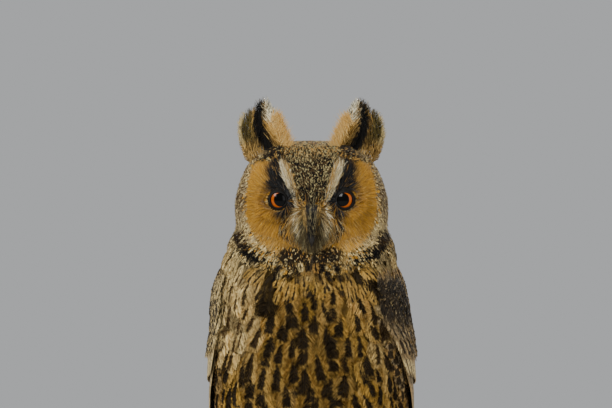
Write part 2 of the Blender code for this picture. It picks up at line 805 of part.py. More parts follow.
def make_wing(side, name, material, collection, cutters):
    """A folded wing: tiers of feathers fused at their roots to the arm."""
    wing = add_object(name, wing_core(side), collection, material)
    cut_away(
        wing,
        add_object("torso_cutter", torso_mesh(GAP), cutters),
        add_object("neck_cutter", neck_mesh(GAP), cutters),
    )
    pieces = make_collection(name + "_feathers")
    for tier in WING_TIERS:
        for index in range(tier.count):
            add_vane(f"{name}_{tier.name}_{index}", tier.vane(side, index), pieces)
    join_all(wing, pieces)
    keep_largest(wing)
    return wing


def tail_plane(drop):
    """How far back the tail's upper side lies at this drop."""
    return TAIL_Y + (drop - TAIL_TOP_DROP) * TAIL_SLOPE


def tail_vane(side, index, cells=4):
    """Rows of one tail feather. The middle pair lies over the others."""
    layer = 0 if index == 0 and side > 0 else index + 1
    end = TAIL_DROP - TAIL_STAGGER * index
    rows = []
    for k in range(cells + 1):
        along = k / cells
        spread = vane_outline(along)
        outer = mix(TAIL_INNER_WIDTH / 2, TAIL_HALF_WIDTH, index / (TAIL_PAIRS - 1))
        outer *= mix(TAIL_ROOT_WIDTH, 1.0, min(1.0, along * 1.6)) * mix(0.55, 1.0, spread)
        row = []
        for across in (-1, 0, 1):
            drop = mix(TAIL_ROOT_DROP, end, along) - across**2 * TAIL_CORNER * along**4
            x = side * mix(0.5 * MM, outer, (across + 1) / 2)
            if index == 0:
                x = side * 1.2 * MM + across * TAIL_INNER_WIDTH / 2 * spread
            depth = layer * VANE_STEP * MM + VANE_ROLL * abs(x) * 0.4
            row.append(Vector((x, tail_plane(drop) - depth - VANE_THICKNESS, CROWN_Z - drop)))
        rows.append(row)
    return rows


def make_tail(material, collection, cutters):
    """Twelve tail feathers in a closed fan, fused to a core under the tail coverts."""
    rings = []
    for share in (0.0, 0.35, 0.7, 1.0):
        drop = mix(TAIL_TOP_DROP, TAIL_CORE_END, share)
        half_width = mix(*TAIL_CORE_WIDTHS, share)
        half_depth = TAIL_CORE_DEPTH / 2
        middle = tail_plane(drop) - half_depth - GAP
        ring = []
        for n in range(TAIL_CORE_SIDES):
            angle = 2 * math.pi * n / TAIL_CORE_SIDES
            across = half_width * signed_power(math.cos(angle), 0.6)
            along = middle + half_depth * signed_power(math.sin(angle), 0.8)
            ring.append(Vector((across, along, CROWN_Z - drop)))
        rings.append(ring)
    tail = add_object("tail", loft(rings), collection, material)
    pieces = make_collection("tail_feathers")
    for index in range(TAIL_PAIRS):
        for side in (-1, 1):
            add_vane(f"tail_vane_{index}_{side}", tail_vane(side, index), pieces)
    join_all(tail, pieces)
    cut_away(tail, add_object("torso_cutter", torso_mesh(GAP), cutters))
    keep_largest(tail)
    return tail


def make_leg(side, name, material, collection, cutters):
    """Thigh and feathered shank, down to a flat cut above the foot."""
    ankle = PERCH_TOP + ANKLE_HEIGHT + GAP
    spots = [Vector((side * x * MM, y * MM, CROWN_Z - down * MM)) for x, y, down, _ in LEG_PATH]
    spots.append(Vector((side * LEG_SPREAD, 0.0, ankle + SHANK_HEIGHT)))
    spots.append(Vector((side * LEG_SPREAD, 0.0, ankle)))
    radii = [row[3] * MM for row in LEG_PATH] + [SHANK_RADIUS, ANKLE_RADIUS]
    leg = add_curve_tube(name, spots, radii, collection)
    leg.data.materials.append(material)
    cut_away(leg, add_object("torso_cutter", torso_mesh(GAP), cutters))
    keep_largest(leg)
    return leg


def perch_point(x, radius, angle, way):
    """A point round the perch. Angle starts at the top and way -1 goes to the front."""
    return Vector((x, way * radius * math.sin(angle), PERCH_AXIS + radius * math.cos(angle)))


def toe_points(side, toe):
    _, start, end, way, arc = toe
    points = []
    for k in range(TOE_STEPS):
        share = k / (TOE_STEPS - 1)
        angle = math.radians(arc) * share
        x = side * LEG_SPREAD + side * (start + (end - start) * share) * MM
        points.append(perch_point(x, PERCH_RADIUS + GAP + toe_radius(share), angle, way))
    return points


def toe_radius(share):
    return TOE_RADIUS * (1 - TOE_TAPER * share)


def make_foot(side, name, material, collection):
    pieces = make_collection(name + "_pieces")
    pad = PERCH_TOP + ANKLE_HEIGHT / 2 + FOOT_SUNK
    bm = bmesh.new()
    bmesh.ops.create_cone(
        bm,
        cap_ends=True,
        segments=12,
        radius1=FOOT_RADII[0],
        radius2=FOOT_RADII[1],
        depth=ANKLE_HEIGHT - 2 * FOOT_SUNK,
    )
    bmesh.ops.translate(bm, vec=(side * LEG_SPREAD, 0, pad), verts=bm.verts)
    foot = add_object(name, bm, collection, material)
    for toe in TOES:
        points = toe_points(side, toe)
        radii = [toe_radius(k / (len(points) - 1)) for k in range(len(points))]
        add_curve_tube(name + "_" + toe[0], points, radii, pieces)
    join_all(foot, pieces)
    keep_largest(foot)
    return foot


def make_claws(side, prefix, material, collection, cutters):
    for toe in TOES:
        name, start, end, way, arc = toe
        points, radii = [], []
        begin = math.radians(arc) - CLAW_RADIUS / (PERCH_RADIUS + TOE_RADIUS)
        toe_offset = toe_radius(1.0) - CLAW_RADIUS - CLAW_TIP_RADIUS
        for k in range(CLAW_STEPS):
            share = k / (CLAW_STEPS - 1)
            radius = CLAW_RADIUS * (1 - share) ** 0.8 + CLAW_TIP_RADIUS
            lift = toe_offset * (1 - share) + CLAW_ARCH * math.sin(math.pi * share)
            angle = begin + CLAW_ARC * share
            x = side * (LEG_SPREAD + (end + (end - start) / 4 * share) * MM)
            points.append(perch_point(x, PERCH_RADIUS + GAP + radius + lift, angle, way))
            radii.append(radius)
        claw = add_curve_tube(f"{prefix}_claw_{name}", points, radii, collection)
        claw.data.materials.append(material)
        toe_line = toe_points(side, toe)
        toe_line[-1] += (toe_line[-1] - toe_line[-2]).normalized() * GAP
        grown = [toe_radius(k / (len(toe_line) - 1)) + GAP for k in range(len(toe_line))]
        cut_away(claw, add_curve_tube("toe_cutter", toe_line, grown, cutters))
        keep_largest(claw)


def perch_mesh(grown=0.0):
    bm = bmesh.new()
    bmesh.ops.create_cone(
        bm,
        cap_ends=True,
        segments=PERCH_SIDES,
        radius1=PERCH_RADIUS + grown,
        radius2=PERCH_RADIUS + grown,
        depth=PERCH_LENGTH,
    )
    turn = Matrix.Rotation(math.pi / 2, 4, "Y")
    bmesh.ops.transform(
        bm, matrix=Matrix.Translation((0, 0, PERCH_AXIS)) @ turn, verts=bm.verts
    )
    return bm


def make_perch(material, collection):
    perch = add_object("perch_branch", perch_mesh(), collection, material)
    pieces = make_collection("perch_pieces")
    root = Vector((TWIG_PLACE, 0, PERCH_AXIS))
    lie = Vector(TWIG_LIE).normalized()
    tip = root + lie * (PERCH_RADIUS + TWIG_LENGTH)
    add_curve_tube("twig_stub", [root, tip], [TWIG_RADIUS * 1.25, TWIG_RADIUS], pieces)
    join_all(perch, pieces)
    keep_largest(perch)
    return perch


def make_stand(base_material, rod_material, collection, cutters):
    bm = bmesh.new()
    bmesh.ops.create_cone(
        bm, cap_ends=True, segments=BASE_SIDES, radius1=0.5, radius2=0.5, depth=1.0
    )
    size = Matrix.Diagonal((BASE_LENGTH, BASE_DEPTH, BASE_THICKNESS, 1.0))
    place = Matrix.Translation((0, 0, BASE_THICKNESS / 2)) @ size
    bmesh.ops.transform(bm, matrix=place, verts=bm.verts)
    rim = [
        edge
        for edge in bm.edges
        if all(vert.co.z > BASE_THICKNESS / 2 for vert in edge.verts)
    ]
    bmesh.ops.bevel(bm, geom=rim, offset=BASE_EDGE, segments=2, affect="EDGES", profile=0.5)
    add_object("stand_base", bm, collection, base_material)
    for name, x in (("stand_rod_left", ROD_SPREAD), ("stand_rod_right", -ROD_SPREAD)):
        bm = bmesh.new()
        foot = BASE_THICKNESS + GAP
        profile = [
            (0, PERCH_AXIS),
            (ROD_RADIUS, PERCH_AXIS),
            (ROD_RADIUS, foot + ROD_FOOT_HEIGHT),
            (ROD_FOOT_RADIUS, foot + ROD_FOOT_HEIGHT * 0.6),
            (ROD_FOOT_RADIUS, foot),
            (0, foot),
        ]
        line = [bm.verts.new((radius, 0, z)) for radius, z in profile]
        edges = [bm.edges.new(pair) for pair in zip(line, line[1:])]
        bmesh.ops.spin(
            bm,
            geom=line + edges,
            cent=(0, 0, 0),
            axis=(0, 0, 1),
            angle=2 * math.pi,
            steps=ROD_SIDES,
            use_merge=True,
        )
        bmesh.ops.remove_doubles(bm, verts=bm.verts, dist=MERGE)
        bmesh.ops.translate(bm, vec=(x, 0, 0), verts=bm.verts)
        rod = add_object(name, bm, collection, rod_material)
        cut_away(rod, add_object("perch_cutter", perch_mesh(GAP), cutters))
        keep_largest(rod)


def make_head(material, collection, cutters, seats):
    head = add_object("head", head_mesh(), collection, material)
    lids = make_collection("lids")
    for side in (-1, 1):
        lid_ring(side, lids)
    join_all(head, lids)
    for side in (-1, 1):
        cut_away(head, add_object("eye_cutter", eye_mesh(side, GAP), cutters))
    cut_away(head, *seats)
    keep_largest(head)
    return head


def main():
    clear_scene()
    bird = make_collection("long_eared_owl")
    cutters = make_collection("cutters")
    streaked = make_material("streaked_plumage", FEATHER_OCHRE, 0.85)
    mottled = make_material("mottled_plumage", FEATHER_BROWN, 0.85)
    disc = make_material("facial_disc", DISC_TAN, 0.85)
    pale = make_material("pale_plumage", FEATHER_PALE, 0.85)
    horn = make_material("horn", BILL_BLACK, 0.35)
    iris = make_material("eye", EYE_ORANGE, 0.08)
    bark = make_material("bark", BARK_BROWN, 0.9)
    walnut = make_material("plinth_wood", WOOD_WALNUT, 0.45)
    steel = make_material("rod_steel", STEEL_DARK, 0.35, 0.9)

    seats = make_bill(horn, bird, cutters)
    make_head(disc, bird, cutters, seats)
    neck = add_object("neck", neck_mesh(), bird, streaked)
    cut_away(neck, add_object("head_cutter", head_mesh(GAP), cutters))
    keep_largest(neck)
    torso = add_object("torso", torso_mesh(), bird, streaked)
    cut_away(torso, add_object("head_cutter", head_mesh(GAP), cutters))
    keep_largest(torso)
    for side, word in ((1, "left"), (-1, "right")):
        add_object(f"{word}_eye", eye_mesh(side), bird, iris)
        make_tuft(side, f"{word}_ear_tuft", mottled, bird, cutters)
        make_wing(side, f"{word}_wing", mottled, bird, cutters)
        make_leg(side, f"{word}_leg", pale, bird, cutters)
        make_foot(side, f"{word}_foot", pale, bird)
        make_claws(side, word, horn, bird, cutters)
    make_tail(mottled, bird, cutters)
    make_perch(bark, bird)
    make_stand(walnut, steel, bird, cutters)


main()
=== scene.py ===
import math
from functools import partial
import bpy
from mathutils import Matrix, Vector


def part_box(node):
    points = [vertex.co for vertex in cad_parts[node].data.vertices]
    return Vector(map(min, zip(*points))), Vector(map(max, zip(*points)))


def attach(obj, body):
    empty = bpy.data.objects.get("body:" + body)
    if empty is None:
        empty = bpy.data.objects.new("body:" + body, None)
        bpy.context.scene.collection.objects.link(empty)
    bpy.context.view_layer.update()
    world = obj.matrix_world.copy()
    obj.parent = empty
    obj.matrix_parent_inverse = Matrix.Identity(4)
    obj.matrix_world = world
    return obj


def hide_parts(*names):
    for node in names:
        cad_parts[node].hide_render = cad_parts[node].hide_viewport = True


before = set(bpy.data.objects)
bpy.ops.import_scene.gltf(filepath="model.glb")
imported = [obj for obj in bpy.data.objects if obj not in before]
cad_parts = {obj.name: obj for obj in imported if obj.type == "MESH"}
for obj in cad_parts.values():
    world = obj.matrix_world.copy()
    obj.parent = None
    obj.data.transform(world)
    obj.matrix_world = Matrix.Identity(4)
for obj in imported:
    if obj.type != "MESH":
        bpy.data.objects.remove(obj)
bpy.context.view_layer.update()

from types import SimpleNamespace
import bpy
import bmesh
import numpy as np
from mathutils import Matrix, Vector
from mathutils.bvhtree import BVHTree

mm = 0.001
dice = np.random.default_rng(27)

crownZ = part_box("head")[1].z  # heights on the bird are drops below this, in millimetres
perchLow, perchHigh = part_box("perch_branch")
perchRadius = 15 * mm
perchSeat = 0.97  # the rods end this share of the radius below the perch's middle line
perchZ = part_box("stand_rod_left")[1].z + perchRadius * perchSeat
bothSides = ((1, "left"), (-1, "right"))
eyes = {}
for side, word in bothSides:
    low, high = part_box(word + "_eye")
    eyes[side] = (low + high) / 2
eyeSide, eyeDrop = eyes[1].x / mm, (crownZ - eyes[1].z) / mm


# Camera: level with the face, as in the photograph, which shows the bird down to its belly
shot = {
    "across": -3.2 * mm, "back": 3.0, "drop": 36.5 * mm, "frameWidth": 0.355, "faceY": -0.03, "sensor": 36,
    "farthest": 100,
}

camera = bpy.data.objects.new("camera", bpy.data.cameras.new("camera"))
bpy.context.scene.collection.objects.link(camera)
camera.location = (shot["across"], -shot["back"], crownZ - shot["drop"])
camera.rotation_euler = (math.pi / 2, 0, 0)
camera.data.sensor_width = shot["sensor"]
camera.data.lens = shot["sensor"] * (shot["back"] + shot["faceY"]) / shot["frameWidth"]
camera.data.clip_end = shot["farthest"]
bpy.context.scene.camera = camera


# Small tools

def deselectAll():
    for other in bpy.context.selected_objects:
        other.select_set(False)


def pick(obj):
    deselectAll()
    obj.select_set(True)
    bpy.context.view_layer.objects.active = obj


def applyModifier(obj, kind, **settings):
    made = obj.modifiers.new(kind.lower(), kind)
    for name, value in settings.items():
        setattr(made, name, value)
    pick(obj)
    bpy.ops.object.modifier_apply(modifier=made.name)


def addPrimitive(kind, name, **settings):
    deselectAll()
    getattr(bpy.ops.mesh, f"primitive_{kind}_add")(**settings)
    made = bpy.context.active_object
    made.name = name
    return made


def link(name, data):
    obj = bpy.data.objects.new(name, data)
    bpy.context.scene.collection.objects.link(obj)
    return obj


unwrapAngle = math.radians(66)  # faces that turn by more start an island of their own


def unwrapPiece(obj, margin=0.01):
    pick(obj)
    bpy.ops.object.mode_set(mode="EDIT")
    bpy.ops.mesh.select_all(action="SELECT")
    bpy.ops.uv.smart_project(angle_limit=unwrapAngle, island_margin=margin)
    bpy.ops.object.mode_set(mode="OBJECT")
    obj.data.uv_layers[0].name = "OFBake"


def readOut(items, name, width, kind=np.float32):
    values = np.empty(len(items) * width, kind)
    items.foreach_get(name, values)
    return values.reshape(-1, width)


def flat(values):  # one long row of short floats, as Blender takes them in
    return values.astype(np.float32).ravel()


def addColours(mesh, label, values):  # a colour for each point, read by the finish
    colours = np.ones((len(mesh.vertices), 4), np.float32)
    colours[:, :values.shape[-1]] = values.reshape(-1, values.shape[-1])
    mesh.attributes.new(label, "FLOAT_COLOR", "POINT").data.foreach_set("color", colours.ravel())


def soft(low, high, value):  # 0 at low, 1 at high, smooth between, either way round
    share = np.clip((value - low) / (high - low), 0, 1)
    return share * share * (3 - 2 * share)


def along(rows, places):  # a value read off a short table, straight between its rows
    table = np.array(rows, float)
    return np.interp(places, table[:, 0], table[:, 1])


def unit(vectors):
    return vectors / np.maximum(np.linalg.norm(vectors, axis=-1, keepdims=True), 1e-9)


def lay(vectors, normals):  # turns directions flat on the surface
    return unit(vectors - normals * np.sum(vectors * normals, axis=-1, keepdims=True))


def mixTone(first, second, share):
    share = np.asarray(share)[..., None]
    return first * (1 - share) + second * share


def tone(*levels):  # a colour as a screen shows it, 0 to 255, made linear
    shares = np.array(levels) / 255
    return np.where(shares <= 0.04045, shares / 12.92, ((shares + 0.055) / 1.055) ** 2.4)


tones = SimpleNamespace(
    discOchre=tone(186, 136, 38),
    discShade=tone(134, 90, 30),
    white=tone(222, 212, 178),
    cream=tone(212, 188, 130),
    tan=tone(190, 150, 78),
    ochre=tone(186, 134, 44),
    buff=tone(168, 128, 66),
    grey=tone(150, 134, 102),
    brown=tone(78, 58, 32),
    dark=tone(42, 33, 20),
    black=tone(14, 12, 9),
    pepper=tone(158, 144, 100),
    olive=tone(104, 90, 56),
    straw=tone(176, 137, 55),
)


# Finishes

def feed(tree, socket, value):
    if isinstance(value, bpy.types.NodeSocket):
        tree.links.new(value, socket)
    else:
        socket.default_value = value


def newNode(tree, kind, **inputs):
    made = tree.nodes.new(kind)
    for name, value in inputs.items():
        if hasattr(made, name):
            setattr(made, name, value)
        else:
            feed(tree, made.inputs[name.replace("_", " ")], value)
    return made


def calc(tree, operation, first, second=0.0, clamp=False):
    made = newNode(tree, "ShaderNodeMath", operation=operation, use_clamp=clamp)
    feed(tree, made.inputs[0], first)
    feed(tree, made.inputs[1], second)
    return made.outputs[0]


def ramp(tree, value, low, high):  # a soft step from low to high
    return newNode(
        tree, "ShaderNodeMapRange", interpolation_type="SMOOTHSTEP", Value=value, From_Min=low, From_Max=high
    ).outputs["Result"]


def mixColour(tree, share, first, second, blend="MIX"):
    made = newNode(tree, "ShaderNodeMix", data_type="RGBA", blend_type=blend)
    for socket, value in ((made.inputs[0], share), (made.inputs[6], first), (made.inputs[7], second)):
        isColour = hasattr(value, "__len__") and not isinstance(value, bpy.types.NodeSocket)
        feed(tree, socket, (*value[:3], 1.0) if isColour else value)
    return made.outputs[2]


def objectNoise(tree, scale, detail, stretch=None, **settings):
    place = newNode(tree, "ShaderNodeTexCoord").outputs["Object"]
    if stretch:
        place = newNode(tree, "ShaderNodeMapping", Vector=place, Scale=stretch).outputs[0]
    settings = {"Vector": place, "Scale": scale, "Detail": detail, **settings}
    return newNode(tree, "ShaderNodeTexNoise", **settings).outputs[0]


def greyOf(tree, value):
    return newNode(tree, "ShaderNodeCombineColor", Red=value, Green=value, Blue=value).outputs[0]


def attributeOf(tree, name, output="Color"):
    return newNode(tree, "ShaderNodeAttribute", attribute_name=name).outputs[output]


def finish(tree, colour, height, strength, distance):  # the colour and the fine relief of a finish
    shader = tree.nodes["Principled BSDF"]
    tree.links.new(colour, shader.inputs["Base Color"])
    raised = newNode(tree, "ShaderNodeBump", Strength=strength, Distance=distance, Height=height)
    tree.links.new(raised.outputs["Normal"], shader.inputs["Normal"])


def plainMaterial(name, colour, roughness, metallic=0.0, coatWeight=0.0, specular=0.5, sheen=0.0):
    material = bpy.data.materials.new(name)
    material.use_nodes = True
    shader = material.node_tree.nodes["Principled BSDF"]
    for label, value in (
        ("Base Color", (*colour, 1)), ("Roughness", roughness), ("Metallic", metallic),
        ("Coat Weight", coatWeight), ("Specular IOR Level", specular), ("Sheen Weight", sheen),
    ):
        shader.inputs[label].default_value = value
    return material, material.node_tree, shader


def newGroup(name, inputs, outputs):
    group = bpy.data.node_groups.new(name, "ShaderNodeTree")
    for label, kind, value in inputs:
        socket = group.interface.new_socket(label, in_out="INPUT", socket_type="NodeSocket" + kind)
        socket.default_value = value
    for label, kind in outputs:
        group.interface.new_socket(label, in_out="OUTPUT", socket_type="NodeSocket" + kind)
    return group, group.nodes.new("NodeGroupInput"), group.nodes.new("NodeGroupOutput")


# Markings of one feather, read off its own map: a dark drop along the shaft, bars across, and fine freckles
def makeFeatherMarks():
    group, given, made = newGroup(
        "featherMarks",
        [
            ("Ground", "Color", (0.5, 0.4, 0.2, 1)),
            ("Mark", "Color", (0.05, 0.04, 0.03, 1)),
            ("Chance", "Float", 0.5),
            ("Traits", "Vector", (0.3, 0.0, 0.2)),
            ("Bars", "Float", 4.0),
            ("Streak Start", "Float", 0.3),
            ("Freckle Scale", "Float", 900.0),
        ],
        [("Colour", "Color"), ("Height", "Float")],
    )
    times, plus, minus = (partial(calc, group, kind) for kind in ("MULTIPLY", "ADD", "SUBTRACT"))
    wide, barred, speckled = newNode(group, "ShaderNodeSeparateXYZ", Vector=given.outputs["Traits"]).outputs
    vane = newNode(group, "ShaderNodeUVMap", uv_map="vane").outputs["UV"]
    across, out, _ = newNode(group, "ShaderNodeSeparateXYZ", Vector=vane).outputs
    rough = objectNoise(group, 420.0, 2.0)
    wobble = times(minus(rough, 0.5), 0.55)
    fromShaft = calc(group, "ABSOLUTE", minus(times(across, 2.0), 1.0))
    chance, start = given.outputs["Chance"], given.outputs["Streak Start"]
    swell = plus(0.3, times(ramp(group, out, start, 0.8), 0.7))
    size = times(times(wide, plus(0.65, times(chance, 0.7))), swell)
    streak = minus(1.0, ramp(group, plus(fromShaft, wobble), minus(size, 0.12), plus(size, 0.12)))
    begin = ramp(group, out, start, plus(start, 0.14))
    end = ramp(group, plus(out, times(wobble, 0.3)), 1.04, 0.92)
    streak = times(times(times(streak, begin), end), ramp(group, wide, 0.0, 0.12))
    sweep = minus(out, times(fromShaft, 0.04))
    turns = times(plus(times(sweep, given.outputs["Bars"]), chance), 2 * math.pi)
    wave = calc(group, "SINE", plus(turns, times(wobble, 3.0)))
    bars = times(ramp(group, wave, 0.2, 0.75), barred)
    freckles = times(ramp(group, objectNoise(group, given.outputs["Freckle Scale"], 1.0), 0.5, 0.6), speckled)
    share = calc(group, "MAXIMUM", calc(group, "MAXIMUM", streak, bars), freckles, clamp=True)
    marked = mixColour(group, share, given.outputs["Ground"], given.outputs["Mark"])
    group.links.new(mixColour(group, 0.22, marked, greyOf(group, rough), "OVERLAY"), made.inputs["Colour"])
    barbs = newNode(group, "ShaderNodeTexWave", Vector=vane, Scale=9.0, Distortion=1.0).outputs["Fac"]
    group.links.new(plus(barbs, rough), made.inputs["Height"])
    return group


featherMarks = makeFeatherMarks()


def featherMaterial(name, bars=4.0, streakStart=0.3, freckles=900.0, bump=0.15, sheen=0.0):
    material, tree, _ = plainMaterial(name, (0.8, 0.8, 0.8), 0.8, specular=0.12, sheen=sheen)
    marks = tree.nodes.new("ShaderNodeGroup")
    marks.node_tree = featherMarks
    for socket, attribute, output in (
        ("Ground", "ground", "Color"), ("Mark", "mark", "Color"), ("Chance", "mark", "Alpha"),
        ("Traits", "traits", "Vector"),
    ):
        tree.links.new(attributeOf(tree, attribute, output), marks.inputs[socket])
    for socket, value in (("Bars", bars), ("Streak Start", streakStart), ("Freckle Scale", freckles)):
        marks.inputs[socket].default_value = value
    finish(tree, marks.outputs["Colour"], marks.outputs["Height"], bump, 0.0003)
    return material


# Where things lie on the bird, in millimetres: x to its left, y back, drop below the crown

def fromCrown(points):
    return points[:, 0] / mm, points[:, 1] / mm, (crownZ - points[:, 2]) / mm


def inWorld(x, y, drop):
    return np.stack([x * mm, y * mm, crownZ - drop * mm], -1)


headShape = {"middle": 36, "up": 36, "down": 38, "halfWidth": 44, "taper": 0.2}


def headShare(x, drop):  # 0 at the head's middle and 1 at its outline, seen from the front
    up = headShape["middle"] - drop
    width = headShape["halfWidth"] - headShape["taper"] * np.maximum(up, 0)
    height = np.where(up > 0, headShape["up"], headShape["down"])
    power = np.where(up > 0, 3.0, 2.3)
    return ((np.abs(x) / width) ** power + (np.abs(up) / height) ** power) ** (1 / power)


face = {
    # drop below the crown and distance from the middle line: the roots of the white brows and of the bristles
    "browMiddle": [
        (14, 15.2), (20, 13.8), (26, 12.2), (32, 10.4), (36, 8.8), (40, 7.3), (45, 6.0), (52, 5.2),
    ],
    "browHalf": [(14, 1.4), (18, 2.7), (24, 2.4), (32, 1.8), (40, 1.4), (45, 1.1), (52, 0.8)],
    "fan": [(39, 7.5), (45, 9.5), (50, 9), (54, 6.5), (57, 3.5), (60, 0)],
    "fanTips": [(40, 12), (46, 13.6), (50, 13.6), (54, 12), (58, 8.5), (61, 4), (63, 1)],
    "ruffStart": 0.845,
    "chinTop": 60.5,
}


def faceMasks(x, y, drop, normals):  # normals are None where only the place is known
    side = np.abs(x)
    share = headShare(x, drop)
    front = soft(4, -6, y) * soft(78, 74, drop)
    eyeGap = np.hypot(side - eyeSide, drop - eyeDrop)
    brow = soft(1.15, 0.85, np.abs(side - along(face["browMiddle"], drop)) / along(face["browHalf"], drop))
    brow = brow * soft(15, 18, drop) * soft(51, 48, drop) * front
    inside = soft(0.6, -0.6, side - along(face["browMiddle"], drop))
    forehead = inside * soft(46, 41, drop) * (1 - brow) * front
    fan = soft(1.0, -1.0, side - along(face["fan"], drop)) * soft(38, 41, drop) * front
    ring = soft(7.6, 6.4, eyeGap) * soft(2.0, -1.5, side - eyeSide) * front
    patch = soft(1.2, -1.0, side - along([(8, 19), (14, 22.4), (20, 24.4), (26, 24.2), (31, 21)], drop))
    patch = patch * soft(9, 12, drop) * soft(34, 30, drop) * (1 - inside * soft(14, 18, drop)) * front
    patch = patch * soft(-0.8, 0.8, side - along([(7, 16), (12, 13.5), (18, 12)], drop))
    fromTips = side - along(face["fanTips"], drop)
    strokes = soft(5.5, 4.0, fromTips) * soft(-1.5, 0.0, fromTips)
    strokes = strokes * soft(38, 41, drop) * soft(64, 61, drop) * front
    black = np.clip(np.maximum(ring, patch) - brow, 0, 1)
    start = face["ruffStart"] - 0.03 * soft(54, 62, drop) + 0.09 * soft(30, 13, drop)
    limit = share - 0.05 * soft(48, 56, drop) + 0.1 * soft(66, 72, drop)
    ruff = soft(start - 0.015, start + 0.015, share) * soft(1.1, 1.06, limit)
    ruff = ruff * soft(7, 1, y) * soft(80, 77, drop)
    ruff = ruff * soft(5, 8, drop) * (1 - inside)
    chin = soft(face["chinTop"] - 1, face["chinTop"] + 1, drop) * soft(20, 15, side) * soft(72, 69, drop)
    chin = chin * soft(8, 2, y) * (1 if normals is None else soft(-0.8, -0.6, normals[:, 2]))
    ruff = ruff * (1 - chin)
    disc = front * (1 - ruff) * (1 - forehead) * np.maximum(soft(11, 14, drop), patch)
    disc = disc * soft(1.0, 0.96, share)
    return {
        "share": share, "brow": brow, "forehead": forehead, "fan": fan, "black": black, "ruff": ruff,
        "chin": chin, "disc": disc, "strokes": strokes,
    }


# One flesh surface: head, neck, body, legs, feet and the arms of the wings, without a seam

wing = {
    # drop, half width, middle, half depth, front and back angle of the sheet that the feathers lie on
    "sheet": [
        (80, 50.5, 3.3, 42.5, -30, 60), (100, 52.2, 0, 47.6, -32, 68), (120, 53, -2, 51, -26, 74),
        (145, 53.5, -2.5, 52.5, -16, 81), (168, 52.5, -1.5, 51.5, -9, 84), (190, 48.5, 3.5, 46.5, -2, 86),
        (205, 46, 7.5, 43, 4, 86), (225, 44.5, 8, 43, 12.5, 86.5), (250, 42, 8.5, 45, 27, 87),
        (280, 38, 13, 45.5, 39, 87), (310, 36, 19, 43.5, 50, 87), (335, 32, 27, 38.5, 64, 86),
    ],
    "power": 2.25,
    "frontShift": {1: -15, -1: 8},
    "shiftEnd": 165,
    "shiftLength": 70,
    "arm": [(82, 1.6), (92, 3.2), (110, 4.2), (132, 4.2), (155, 3.0), (179, 2.0), (197, 1.4), (212, 0.6)],
    "armBack": 2.6,
    "sink": 8,
}


def signedPower(value, power):
    return np.sign(value) * np.abs(value) ** power


def sheetAt(side, drop):  # half width, middle, half depth, and the angles of its front and back edges
    table = np.array(wing["sheet"], float)
    *sizes, first, last = (np.interp(drop, table[:, 0], column) for column in table.T[1:])
    shift = np.clip((wing["shiftEnd"] - drop) / wing["shiftLength"], 0, 1)
    return *sizes, first + wing["frontShift"][side] * shift, last


# A point over the wing's sheet, share 0 at its front edge and 1 at its back
def wingPoint(side, drop, share, height):
    drop, share, height = np.broadcast_arrays(*(np.asarray(v, float) for v in (drop, share, height)))
    halfWidth, middle, halfDepth, first, last = sheetAt(side, drop)
    angle = np.radians(first + (last - first) * np.clip(share, -0.2, 1.0))
    across = signedPower(np.cos(angle), 2 / wing["power"])
    back = signedPower(np.sin(angle), 2 / wing["power"])
    normal = np.stack([
        signedPower(across, wing["power"] - 1) / halfWidth,
        signedPower(back, wing["power"] - 1) / halfDepth,
    ], -1)
    normal = unit(normal)
    x = np.maximum(halfWidth * across + normal[..., 0] * height, 0.5)
    y = middle + halfDepth * back + normal[..., 1] * height
    return inWorld(side * x, y, drop)


def wingArm(side):
    strips, rings = 10, []
    drops = np.linspace(wing["arm"][0][0], wing["arm"][-1][0], 16)
    for drop in drops:
        share = np.linspace(0, 1, strips + 1)
        rise = along(wing["arm"], drop) * np.minimum(1, 0.5 + 5 * share)
        rise = rise + wing["armBack"] * np.maximum(0, share * 2 - 1)
        outer = wingPoint(side, drop, share, rise)
        inner = wingPoint(side, drop, share, -wing["sink"])
        rings.append(np.concatenate([outer, inner[::-1]]))
    count = len(rings[0])
    faces = []
    for row in range(len(rings) - 1):
        for k in range(count):
            n = (k + 1) % count
            faces.append((row * count + k, row * count + n, (row + 1) * count + n, (row + 1) * count + k))
    faces.append(tuple(range(count))[::-1])
    faces.append(tuple((len(rings) - 1) * count + k for k in range(count)))
    mesh = bpy.data.meshes.new("arm")
    mesh.from_pydata(np.concatenate(rings).tolist(), [], faces)
    obj = link("arm", mesh)
    bm = bmesh.new()
    bm.from_mesh(mesh)
    bmesh.ops.recalc_face_normals(bm, faces=bm.faces)
    bm.to_mesh(mesh)
    bm.free()
    return obj


flesh = {
    "nodes": ["head", "neck", "torso", "left_leg", "right_leg", "left_foot", "right_foot"],
    "closeGaps": 0.35 * mm,
    "voxel": 1.5 * mm,
    "smoothing": 6,
}


def copyNode(name, swell=0.0):  # a merged copy of a node, moved out a little
    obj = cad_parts[name].copy()
    obj.data = obj.data.copy()
    obj.name = name + "_copy"
    for key in list(obj.keys()):
        del obj[key]
    obj.parent = None
    obj.hide_render = False
    bpy.context.scene.collection.objects.link(obj)
    bm = bmesh.new()
    bm.from_mesh(obj.data)
    bmesh.ops.remove_doubles(bm, verts=bm.verts, dist=0.00001)
    bm.normal_update()
    for vert, normal in [(vert, vert.normal.copy()) for vert in bm.verts]:
        vert.co += normal * swell
    bm.to_mesh(obj.data)
    bm.free()
    return obj


def makeFlesh():
    parts = [copyNode(name, flesh["closeGaps"]) for name in flesh["nodes"]]
    parts += [wingArm(1), wingArm(-1)]
    deselectAll()
    for part in parts:
        part.select_set(True)
    bpy.context.view_layer.objects.active = parts[0]
    bpy.ops.object.join()
    body = parts[0]
    body.name = "body_skin"
    body.data.materials.clear()
    applyModifier(body, "REMESH", mode="VOXEL", voxel_size=flesh["voxel"])
    applyModifier(body, "SMOOTH", factor=0.5, iterations=flesh["smoothing"])
    return body


